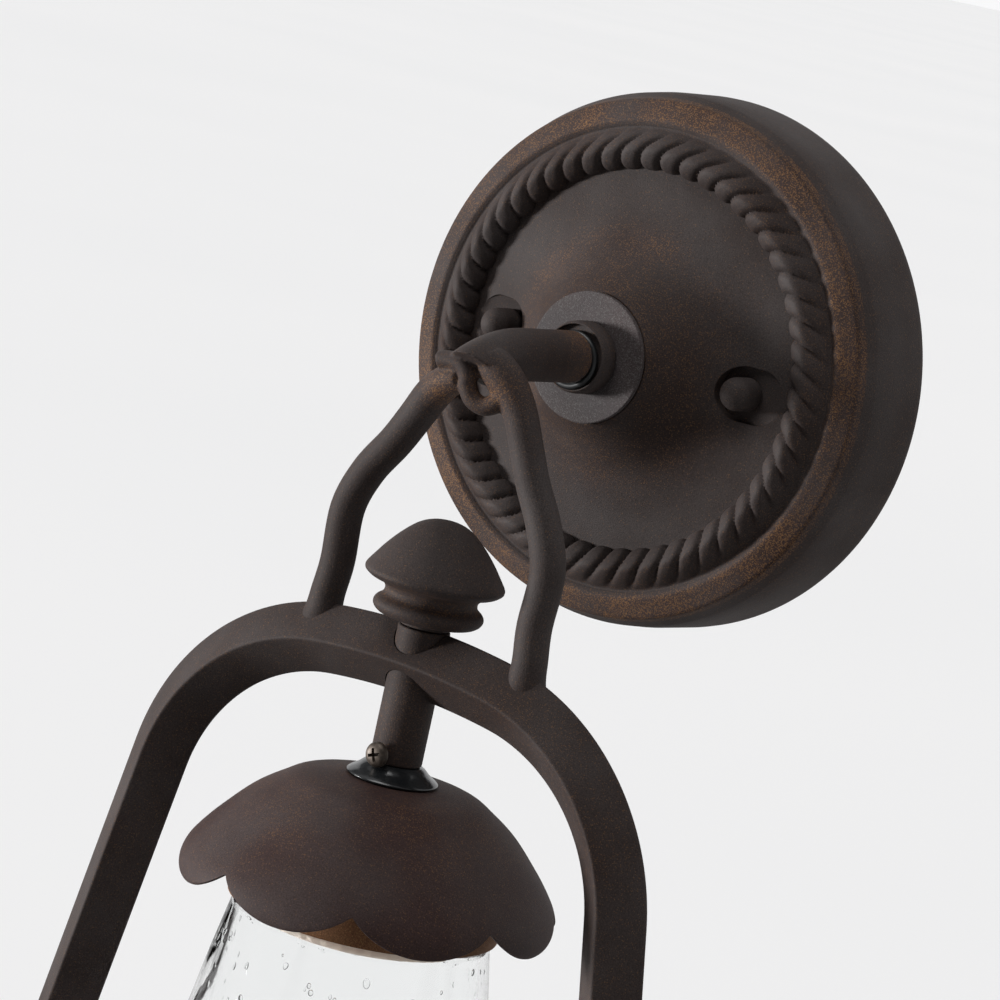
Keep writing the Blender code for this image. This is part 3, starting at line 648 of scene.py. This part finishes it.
def make_ball_nuts():
    outline = [(0.0, NUT_CENTRE + NUT_RADIUS)]
    for k in range(1, 17):
        lift = math.radians(90.0 - 90.0 * k / 16)
        outline.append((NUT_RADIUS * math.cos(lift), NUT_CENTRE + NUT_RADIUS * math.sin(lift)))
    outline += [(NUT_RADIUS, 30.0), (NUT_RADIUS, 28.9), (3.85, 28.6), (3.6, 28.5), (STUD_BORE, 28.5),
                (STUD_BORE, 34.0), (0.0, 34.0)]
    for side, name in SIDES:
        turned(f"ball_nut_{name}_turned", outline, 48, BRONZE, f"ball_nut_{name}", [f"ball_nut_{name}"],
               stud_place(side), closed=False, rust=lambda r, h, a: 0.05)


def make_arm_stack():
    washer = rounded([(5.3, 46.6), (15.7, 46.6), (15.7, 45.4), (5.3, 45.4)], [0.1, 0.35, 0.2, 0.1])
    turned("washer_disc", washer, 96, WASHER_COAT, ROOT, ["arm_washer"], WALL_TURN, rust=lambda r, h, a: 0.2)
    collar = [(5.3, 50.6), (7.8, 50.6), (7.8, 52.1), (8.1, 52.2), (8.5, 51.5), (8.7, 50.0), (8.7, 46.9),
              (5.3, 46.9)]
    collar = rounded(collar, [0.1, 0.1, 0.1, 0.3, 0.8, 1.2, 0.3, 0.1])
    turned("collar_turned", collar, 72, BRONZE, ROOT, ["arm_collar"], WALL_TURN)
    seal = []
    for k in range(20):
        turn = math.tau * k / 20
        seal.append((SEAL_RADIUS + SEAL_SECTION * math.cos(turn), 51.5 + SEAL_SECTION * math.sin(turn)))
    sag = WALL_TURN @ Matrix.Translation((-0.5 * MM, -0.8 * MM, 0.0))
    turned("seal_ring_moulded", seal, 64, SEAL_BLACK, ROOT, ["arm_seal_ring"], sag)


def threaded_rod(name, node, radius, low, high, pitch, bore, place):
    """A zinc rod with a helical thread and chamfered ends. A bore of 0 gives a solid one."""
    chamfer = 0.3
    steps = int((high - low) / pitch * 6)
    outside = [(radius - chamfer, high)]
    for k in range(steps + 1):
        outside.append((radius, high - chamfer - (high - low - 2 * chamfer) * k / steps))
    outside.append((radius - chamfer, low))

    def thread(r, h, angle):
        if r < radius:
            return r, h
        turn = ((h - low) / pitch - angle / math.tau) % 1.0
        return r - THREAD_DEPTH * pitch * abs(2.0 * turn - 1.0), h

    if bore:
        profile = outside + [(bore, low), (bore, high)]
        turned(name, profile, 32, ZINC, ROOT, [node], place, shape=thread, sharp=60.0)
    else:
        profile = [(0.0, high)] + outside + [(0.0, low)]
        turned(name, profile, 24, ZINC, ROOT, [node], place, closed=False, shape=thread, sharp=60.0)


# ---------------------------------------------------------------- arm and bail

ARM_RADIUS = 6.2
ARM_START, ARM_BEND, ARM_TIP = 52.9, 74.0, 97.7
BEND_RADIUS = 42.0
BEAK_ANGLE = math.radians(31.7)
# The bail's bars as (x, y, z, radius) from the arm's tip, in mm. Both legs stand on the same flared foot.
FOOT = [(29.6, 1.0, -74.0, 6.0), (29.6, 1.0, -71.5, 5.1), (29.5, 1.0, -68.5, 4.4), (29.3, 1.0, -64.5, 4.15),
        (28.5, 1.0, -56.7, 4.15), (28.8, 1.0, -44.1, 4.15)]
RIGHT_LEG = FOOT + [(25.2, 1.0, -34.3, 4.1), (20.0, 1.0, -25.8, 4.0), (16.3, 1.0, -18.5, 3.95),
                    (13.2, 0.8, -12.0, 4.0), (10.6, 0.4, -8.0, 4.2), (7.8, 0.0, -5.0, 4.5),
                    (5.0, -0.6, -2.6, 4.4), (2.6, -0.8, -1.4, 4.0)]
LEFT_LEG = [(-x, y, z, radius) for x, y, z, radius in FOOT]
LEFT_LEG += [(-25.2, 1.0, -34.3, 4.15), (-19.4, 1.0, -25.8, 4.15), (-15.2, 0.8, -18.6, 4.2),
             (-11.6, 0.2, -12.6, 4.3), (-7.6, -1.4, -8.9, 4.0), (-4.6, -2.5, -7.4, 3.5),
             (-2.2, -3.1, -6.6, 2.9)]
CURL = [(-8.9, -4.0, -3.7, 1.9), (-8.4, -4.0, -3.6, 2.1), (-4.9, -4.0, -3.1, 2.2), (-2.0, -4.0, -3.5, 2.25),
        (-0.5, -3.8, -5.3, 2.25), (-0.1, -3.5, -7.8, 2.2), (1.6, -3.1, -10.4, 2.2), (4.6, -2.4, -11.4, 2.2),
        (7.2, -1.6, -10.0, 2.4), (8.8, -0.6, -8.0, 2.7)]
RUST_SPOTS = [LANTERN + Vector(p) * MM for p in ((-7.5, -1.5, -9.0), (7.0, -1.0, -6.5))]


def add_swept(bm, path, radii, sides):
    """Adds a round bar to a bmesh, from points and radii in mm."""
    verts, faces = swept([p * MM for p in path], [r * MM for r in radii], sides)
    made = [bm.verts.new(v) for v in verts]
    for face in faces:
        bm.faces.new([made[k] for k in face])


def bar_between(bm, route):
    """Adds a smooth round bar through (x, y, z, radius) points in mm."""
    points = refine(route, 6)
    add_swept(bm, [Vector(p[:3]) for p in points], [p[3] for p in points], 28)


def arm_mesh(bm):
    """The arm bends down at its end, and a slanting plane cuts it to a beak. In the lantern's frame."""
    reach = LANTERN.y / -MM
    path = [Vector((0.0, reach - ARM_START, 0.0)), Vector((0.0, reach - ARM_START - 0.4, 0.0))]
    radii = [ARM_RADIUS - 0.4, ARM_RADIUS]
    for k in range(1, 9):
        path.append(Vector((0.0, reach - ARM_START - (ARM_BEND - ARM_START) * k / 8, 0.0)))
        radii.append(ARM_RADIUS)
    for k in range(1, 15):
        turn = math.radians(2.4 * k)
        forward, down = BEND_RADIUS * math.sin(turn), BEND_RADIUS * (math.cos(turn) - 1.0)
        path.append(Vector((0.0, reach - ARM_BEND - forward, down)))
        radii.append(ARM_RADIUS)
    arm = bmesh.new()
    add_swept(arm, path, radii, 40)
    tip = Vector((0.0, (reach - ARM_TIP) * MM, 0.0))
    normal = Vector((0.0, math.sin(BEAK_ANGLE), math.cos(BEAK_ANGLE)))
    everything = arm.verts[:] + arm.edges[:] + arm.faces[:]
    cut = bmesh.ops.bisect_plane(arm, geom=everything, plane_co=tip, plane_no=normal, clear_inner=True)
    edges = [item for item in cut["geom_cut"] if isinstance(item, bmesh.types.BMEdge)]
    bmesh.ops.contextual_create(arm, geom=edges)
    mesh = bpy.data.meshes.new("arm")
    bmesh.ops.recalc_face_normals(arm, faces=arm.faces)
    arm.to_mesh(mesh)
    arm.free()
    bm.from_mesh(mesh)


def hook_rust(point):
    """Rust gathers in the eye of the hook and where the arm leaves its collar."""
    near_eye = max(math.exp(-((point - spot).length / (5.5 * MM)) ** 2) for spot in RUST_SPOTS)
    near_collar = step_up(-0.066, -0.054, point.y)
    return 0.10 + 1.5 * near_eye + 0.75 * near_collar


def make_hook():
    """The arm, both legs of the bail and the curl, forged into one smooth body."""
    bm = bmesh.new()
    arm_mesh(bm)
    for route in (RIGHT_LEG, LEFT_LEG, CURL):
        bar_between(bm, route)
    mesh = bpy.data.meshes.new("hook")
    bm.to_mesh(mesh)
    bm.free()
    shape = bpy.data.objects.new("hook_shape", mesh)
    bpy.context.scene.collection.objects.link(shape)
    remesh = shape.modifiers.new("voxels", "REMESH")
    remesh.mode = "VOXEL"
    remesh.voxel_size = 0.38 * MM
    soften = shape.modifiers.new("soften", "SMOOTH")
    soften.factor = 0.5
    soften.iterations = 4
    graph = bpy.context.evaluated_depsgraph_get()
    result = bpy.data.meshes.new_from_object(shape.evaluated_get(graph))
    bpy.data.objects.remove(shape)
    verts = [v.co.copy() for v in result.vertices]
    faces = [tuple(p.vertices) for p in result.polygons]
    hook = add_piece("hook_forging", verts, faces, BRONZE, ROOT,
                     ["arm_tube", "bail_leg_left", "bail_leg_right", "bail_curl"], LANTERN_PLACE, sharp=80.0)
    paint_rust(hook, hook_rust)


# ---------------------------------------------------------------- frame

FRAME_TOP, FRAME_BOTTOM = -73.1, -276.0
TOP_RADIUS, SHOULDER_RADIUS, CORNER_RADIUS = 186.8, 50.0, 22.0
TOP_ANGLE, LEG_ANGLE = math.radians(7.41), math.radians(79.57)
HALF_DIAGONAL = 8.52
STEM_HOLE = 6.45


def frame_path():
    """Points of the frame's centreline in mm, each with its outward normal, clockwise from the top."""
    half = []
    top = Vector((0.0, FRAME_TOP - TOP_RADIUS))
    way = Vector((math.sin(TOP_ANGLE), math.cos(TOP_ANGLE)))
    shoulder = top + way * (TOP_RADIUS - SHOULDER_RADIUS)
    leg_normal = Vector((math.sin(LEG_ANGLE), math.cos(LEG_ANGLE)))
    leg_top = shoulder + leg_normal * SHOULDER_RADIUS
    leg_way = Vector((leg_normal.y, -leg_normal.x))
    floor = FRAME_BOTTOM + CORNER_RADIUS
    rise = leg_top.y - leg_normal.y * CORNER_RADIUS - floor
    corner = leg_top - leg_normal * CORNER_RADIUS + leg_way * (rise / -leg_way.y)
    leg_end = corner + leg_normal * CORNER_RADIUS
    for centre, radius, start, stop, count in ((top, TOP_RADIUS, 0.0, TOP_ANGLE, 12),
                                               (shoulder, SHOULDER_RADIUS, TOP_ANGLE, LEG_ANGLE, 36)):
        for turn in along(start, stop, count):
            normal = Vector((math.sin(turn), math.cos(turn)))
            half.append((centre + normal * radius, normal))
    half += [(leg_top.lerp(leg_end, t), leg_normal) for t in along(0.0, 1.0, 30)]
    for turn in along(LEG_ANGLE, math.pi, 28):
        normal = Vector((math.sin(turn), math.cos(turn)))
        half.append((corner + normal * CORNER_RADIUS, normal))
    foot = Vector((corner.x, FRAME_BOTTOM))
    half += [(foot.lerp(Vector((0.0, FRAME_BOTTOM)), t), Vector((0.0, -1.0))) for t in along(0.0, 1.0, 8)]
    middle_foot = [(Vector((0.0, FRAME_BOTTOM)), Vector((0.0, -1.0)))]
    mirrored = [(Vector((-p.x, p.y)), Vector((-n.x, n.y))) for p, n in reversed(half[1:])]
    return half + middle_foot + mirrored


def frame_rust(point):
    """More rust along the front and back edges of the bar."""
    return 0.24 if abs(point.y - LANTERN.y) / MM > 7.2 else 0.14


def make_frame():
    """The square bar on edge, with softly rounded edges and a hole for the stem."""
    corners = [(HALF_DIAGONAL, 0.0), (0.0, HALF_DIAGONAL), (-HALF_DIAGONAL, 0.0), (0.0, -HALF_DIAGONAL)]
    section = rounded(corners, 0.9, 4)
    verts = []
    path = frame_path()
    for point, normal in path:
        for out, across in section:
            place = point + normal * out
            verts.append(Vector((place.x, across, place.y)) * MM)
    faces = grid_faces(len(path), len(section), True)
    bar = add_piece("frame_bar", verts, faces, BRONZE, ROOT, ["lantern_frame"], LANTERN_PLACE, sharp=34.0)
    hole = stacked([disc_ring(STEM_HOLE, FRAME_TOP - 15.0), disc_ring(STEM_HOLE, FRAME_TOP + 15.0)], 48)
    carve(bar, *hole, LANTERN_PLACE)
    paint_rust(bar, frame_rust)


def make_stem():
    profile = [(3.3, -65.0), (6.15, -65.0), (6.15, -97.2), (4.4, -97.2), (4.4, -84.0), (3.3, -84.0)]
    profile = rounded(profile, [0.2, 0.5, 0.5, 0.2, 0.1, 0.1])
    stem = turned("stem_tube", profile, 72, BRONZE, ROOT, ["frame_stem"], LANTERN_PLACE, sharp=30.0)
    carve(stem, *stacked([disc_ring(1.6, 0.0, 24), disc_ring(1.6, 9.0, 24)], 24), SCREW_PLACE)
    paint_rust(stem, lambda point: 0.25)


def make_finial():
    crown = [(0.0, -39.6), (3.2, -39.9), (6.3, -41.2), (9.5, -43.9), (12.6, -47.4), (15.0, -50.7),
             (16.2, -52.5)]
    roll = [(16.4, -53.3), (16.1, -54.0), (14.8, -54.9), (13.0, -55.5), (11.6, -56.2), (10.9, -57.3)]
    ring = [(11.2, -58.6), (12.4, -59.6), (12.95, -60.5), (12.9, -61.5), (12.1, -62.5), (10.4, -63.3),
            (6.0, -64.0)]
    outside = [tuple(p) for p in refine(crown + roll + ring, 4)]
    outside[0] = (0.0, -39.6)
    profile = outside + [(5.8, -64.7), (3.3, -64.7), (3.3, -55.7), (0.0, -55.7)]
    turned("finial_turned", profile, 96, BRONZE, "finial", ["finial"], LANTERN_PLACE, closed=False, sharp=50.0,
           rust=lambda r, h, a: 0.12 + 0.3 * band(-59.0, -55.0, 1.0, h) + 0.1 * band(-64.0, -59.0, 1.0, h))


def make_set_screw():
    """A domed head with a cross of two stepped slots, and its shank."""
    head = refine([(0.0, 9.7), (1.0, 9.66), (1.9, 9.45), (2.6, 9.0), (2.95, 8.4), (3.0, 7.9)], 3)
    profile = [(0.0, 9.7)] + [tuple(p) for p in head[1:]] + [(2.85, 7.8), (1.25, 7.8), (1.25, 4.4), (0.0, 4.4)]
    screw = turned("set_screw_headed", profile, 48, SCREW_METAL, "set_screw", ["shade_set_screw"], SCREW_PLACE,
                   closed=False)
    for quarter in range(2):
        slot = []
        for half_width, half_length, depth in ((0.22, 0.7, 8.2), (0.36, 1.55, 9.3), (0.4, 1.75, 10.2)):
            slot.append([(half_length * x * MM, half_width * y * MM, depth * MM)
                         for x, y in ((1, 1), (-1, 1), (-1, -1), (1, -1))])
        turn = Matrix.Rotation(math.radians(20.0 + 90.0 * quarter), 4, "Z")
        carve(screw, *stacked(slot, 4), SCREW_PLACE @ turn)


# ---------------------------------------------------------------- shade

LOBES = 8
FIRST_CUSP = math.radians(-59.2)
SKIRT_START, CUSP_HEIGHT, LOBE_DROP, HALF_CHORD = -123.0, -124.4, 6.7, 16.6
SHEET = 1.2


def make_grommet():
    outline = [(6.3, -97.4), (7.3, -98.0), (8.6, -99.2), (10.0, -100.1), (10.75, -100.7), (10.8, -101.0),
               (10.6, -101.2)]
    profile = [(4.4, -97.4)] + [tuple(p) for p in refine(outline, 4)] + [(4.4, -101.2)]
    turned("grommet_moulded", profile, 80, GLOSS_BLACK, SHADE, ["stem_grommet"], LANTERN_PLACE, sharp=60.0)


def skirt_radius(height):
    """The skirt bulges out as a parabola, widest a little above its lobes' tips."""
    return 44.6 - 0.055 * (height + 129.2) ** 2


def scallop(radius, height, angle):
    """Stretches the skirt below SKIRT_START down to eight arcs that meet in cusps."""
    if height >= SKIRT_START:
        return radius, height
    across = ((angle - FIRST_CUSP) % (math.tau / LOBES)) / (math.tau / LOBES) * 2.0 - 1.0
    arc = (HALF_CHORD**2 + LOBE_DROP**2) / (2.0 * LOBE_DROP)
    drop = math.sqrt(arc**2 - (across * HALF_CHORD) ** 2) - (arc - LOBE_DROP)
    full = SKIRT_START - CUSP_HEIGHT
    stretched = SKIRT_START + (height - SKIRT_START) * (full + drop) / full
    return radius + skirt_radius(stretched) - skirt_radius(height), stretched


def make_cap():
    """A stamped sheet: the crown, the skirt with its eight lobes, and a lining one sheet inwards."""
    crown = refine([(11.5, -101.5), (20.8, -103.2), (25.9, -106.1), (31.9, -110.6), (38.1, -117.3),
                    (41.0, -120.9), (skirt_radius(SKIRT_START), SKIRT_START)], 6)
    skirt = [(skirt_radius(h), h) for h in along(SKIRT_START - 0.1, CUSP_HEIGHT, 12)]
    outer = [tuple(p) for p in crown] + skirt
    lining = []
    for index, point in enumerate(outer):
        before, after = Vector(outer[max(index - 1, 0)]), Vector(outer[min(index + 1, len(outer) - 1)])
        way = (after - before).normalized()
        normal = Vector((way.y, -way.x))
        level = step_up(SKIRT_START, SKIRT_START + 7.0, point[1])
        normal = Vector((-1.0, 0.0)).lerp(normal, level).normalized()
        lining.append(tuple(Vector(point) + normal * SHEET))
    tip = Vector((skirt_radius(CUSP_HEIGHT), CUSP_HEIGHT))
    lip = [(tip.x - inset, tip.y + rise) for inset, rise in ((0.05, 0.02), (0.25, -0.03), (0.6, -0.05),
                                                             (0.95, -0.03), (1.15, 0.02))]
    profile = [(4.4, -101.5), (8.0, -101.45)] + outer + lip + lining[::-1] + [(4.4, -102.7)]

    def stain(radius, height, angle):
        return 0.16 + 0.2 * band(8.0, 33.0, 7.0, radius) * step_up(-121.0, -112.0, height)

    turned("cap_stamped", profile, 48 * LOBES, CAP_COAT, SHADE, ["scalloped_cap"], LANTERN_PLACE, shape=scallop,
           rust=stain, sharp=40.0)


def make_holder():
    profile = [(16.9, -129.5), (29.9, -129.5), (30.9, -126.2), (32.1, -126.2), (32.1, -134.1), (30.9, -134.1),
               (30.9, -130.7), (16.9, -130.7)]
    profile = rounded(profile, [0.1, 0.6, 0.4, 0.4, 0.4, 0.4, 0.6, 0.1])
    turned("glass_holder_pressed", profile, 96, HOLDER_COAT, SHADE, ["glass_holder"], LANTERN_PLACE)


def make_socket():
    outside = [(4.4, -107.0), (11.0, -107.0), (16.6, -110.0), (16.6, -127.2), (19.5, -127.2), (19.5, -129.2),
               (16.6, -129.2), (16.6, -138.6), (14.6, -138.6), (14.6, -113.3), (4.4, -113.3)]
    profile = rounded(outside, [0.2, 2.0, 1.5, 0.3, 0.4, 0.4, 0.3, 0.6, 0.6, 0.8, 0.2])
    turned("socket_porcelain", profile, 80, PORCELAIN, SHADE, ["socket_body"], LANTERN_PLACE)
    rows = 80
    low, high, pitch = -137.6, -116.0, 3.6

    def rolled(radius, height, angle):
        return radius + 0.28 * math.sin(math.tau * ((height - low) / pitch - angle / math.tau)), height

    outer = [(13.9, high + (low - high) * k / rows) for k in range(rows + 1)]
    inner = [(13.55, height) for radius, height in reversed(outer)]
    turned("screw_shell_rolled", outer + inner, 64, BRASS, SHADE, ["socket_screw_shell"], LANTERN_PLACE,
           shape=rolled, sharp=60.0)
    ring = rounded([(16.9, -134.6), (20.5, -134.6), (20.5, -137.9), (16.9, -137.9)], [0.3, 0.6, 0.6, 0.3])

    def knurl(radius, height, angle):
        return radius - (0.35 * (0.5 + 0.5 * math.cos(36 * angle)) if radius > 19.0 else 0.0), height

    turned("socket_ring_knurled", ring, 288, RING_PLASTIC, "socket_ring", ["socket_ring"], LANTERN_PLACE,
           shape=knurl, sharp=50.0)


GLASS_TOP, GLASS_BOTTOM = -131.0, -248.0
GLASS_SLOPE = 0.184
GLASS_HOLE = 16.95
GLASS_SHOULDER, GLASS_CEILING = -132.2, -134.3
WALL = 2.7
BUBBLES = 320


def glass_radius(height):
    return 29.8 + GLASS_SLOPE * (GLASS_TOP - height)


def wave(angle, height, seed):
    """The blown wall's slow unevenness at a place, between about -1 and 1."""
    total = 0.0
    for k, (around, upright) in enumerate(((2, 0.031), (3, 0.022), (5, 0.047), (7, 0.038), (4, 0.071))):
        total += math.sin(around * angle + upright * height * math.pi + seed * (k + 1.7)) / (1.0 + 0.5 * k)
    return total / 2.2


def make_glass():
    """The flaring shade: a flat top inside the holder, uneven walls, a fire-polished lip, and its seeds."""
    rows, sides = 110, 220
    shoulder = [(GLASS_HOLE, GLASS_TOP), (24.0, GLASS_TOP), (27.4, GLASS_TOP - 0.05),
                (28.7, GLASS_TOP - 0.25), (29.5, GLASS_TOP - 0.7),
                (glass_radius(GLASS_SHOULDER), GLASS_SHOULDER)]
    outer = [(glass_radius(h), h) for h in along(GLASS_SHOULDER, GLASS_BOTTOM, rows)[1:]]
    lip = []
    for k in range(9):
        turn = math.pi * k / 8
        radius = glass_radius(GLASS_BOTTOM) - WALL / 2 + WALL / 2 * math.cos(turn)
        lip.append((radius, GLASS_BOTTOM - 0.8 * math.sin(turn)))
    inner = [(glass_radius(h) - WALL, h) for h in along(GLASS_BOTTOM, -135.8, rows)[1:]]
    corner = glass_radius(GLASS_CEILING) - WALL
    ceiling = [(corner - 0.8, -135.0), (corner - 2.4, -134.35), (GLASS_HOLE, GLASS_CEILING)]
    profile = shoulder + outer + lip + inner + ceiling

    def uneven(radius, height, angle):
        if height > -132.5 or radius < 20.0:
            return radius, height
        fade = step_up(-132.5, -137.0, height)
        outside = radius > glass_radius(height) - WALL / 2
        swell = 0.14 * wave(angle, height, 1.3) - 0.14 if outside else 0.3 * wave(angle, height, 4.1) + 0.1
        return radius + swell * fade, height

    verts = []
    for radius, height in profile:
        for index in range(sides):
            angle = math.tau * index / sides
            r, h = uneven(radius, height, angle)
            verts.append(Vector((r * math.cos(angle), r * math.sin(angle), h)) * MM)
    faces = grid_faces(len(profile), sides, True)
    glass = add_piece("glass_blown", verts, faces, GLASS, SHADE, ["glass_shade"], LANTERN_PLACE, sharp=60.0)
    verts = [v.co.copy() for v in glass.data.vertices]
    faces = [tuple(p.vertices) for p in glass.data.polygons]
    for _ in range(BUBBLES):
        add_bubble(verts, faces)
    mesh = glass.data
    mesh.clear_geometry()
    mesh.from_pydata(verts, [], faces)
    mesh.shade_smooth()


def add_bubble(verts, faces):
    """Adds a seed: a small egg-shaped hollow in the glass wall, with its faces turned inwards."""
    height = random.uniform(GLASS_BOTTOM + 4.0, -137.0)
    angle = random.uniform(0.0, math.tau)
    tall = random.choice((0.4, 0.5, 0.6, 0.8, 1.0, 1.25)) * random.uniform(0.85, 1.15)
    wide = tall * random.uniform(0.6, 0.85)
    deep = min(0.38 * tall + 0.12, 0.5)
    inset = WALL * 0.5 + random.uniform(-0.15, 0.25)
    place = LANTERN_PLACE @ Matrix.Rotation(angle, 4, "Z")
    place = place @ Matrix.Translation(((glass_radius(height) - inset) * MM, 0.0, height * MM))
    place = place @ Matrix.Rotation(math.atan(GLASS_SLOPE), 4, "Y")
    place = place @ Matrix.Diagonal((deep * MM, wide * MM, tall * MM, 1.0))
    first = len(verts)
    rows, sides = 8, 14
    for row in range(1, rows):
        lift = math.pi * (row / rows - 0.5)
        for side in range(sides):
            turn = math.tau * side / sides
            spoke = Vector((math.cos(lift) * math.cos(turn), math.cos(lift) * math.sin(turn), math.sin(lift)))
            verts.append(place @ spoke)
    bottom, top = len(verts), len(verts) + 1
    verts += [place @ Vector((0.0, 0.0, -1.0)), place @ Vector((0.0, 0.0, 1.0))]
    last = first + (rows - 2) * sides
    for side in range(sides):
        step = (side + 1) % sides
        faces.append((first + side, first + step, bottom))
        faces.append((last + step, last + side, top))
        for row in range(rows - 2):
            low, high = first + row * sides, first + (row + 1) * sides
            faces.append((low + step, low + side, high + side, high + step))


make_canopy()
make_ball_nuts()
make_arm_stack()
make_hook()
make_frame()
make_stem()
make_finial()
make_set_screw()
make_grommet()
make_cap()
make_holder()
make_socket()
make_glass()
for side, side_name in SIDES:
    threaded_rod(f"stud_threaded_{side_name}", f"fixture_stud_{side_name}", radius=2.0, low=0.3, high=33.7,
                 pitch=0.7, bore=0.0, place=stud_place(side))
threaded_rod("nipple_threaded", "arm_nipple", radius=5.0, low=36.0, high=60.0, pitch=1.0, bore=3.5,
             place=WALL_TURN)


# ---------------------------------------------------------------- CAD nodes that keep their shape

LOOKS = {
    "hanging_rod": BRONZE, "wall_gasket": FOAM, "mounting_crossbar": ZINC, "stud_locknut_left": ZINC,
    "stud_locknut_right": ZINC, "arm_locknut": ZINC, "arm_lock_washer": ZINC, "shade_spigot": ZINC,
    "cap_locknut": ZINC, "ground_screw": GREEN, "socket_center_contact": BRASS,
}
for node, look in LOOKS.items():
    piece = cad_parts[node]
    piece.data.materials.clear()
    piece.data.materials.append(look)
    edge = piece.modifiers.new("soft_edges", "BEVEL")
    edge.width = 0.15 * MM
    edge.segments = 2
    edge.limit_method = "ANGLE"
    edge.angle_limit = math.radians(40.0)
    edge.harden_normals = True
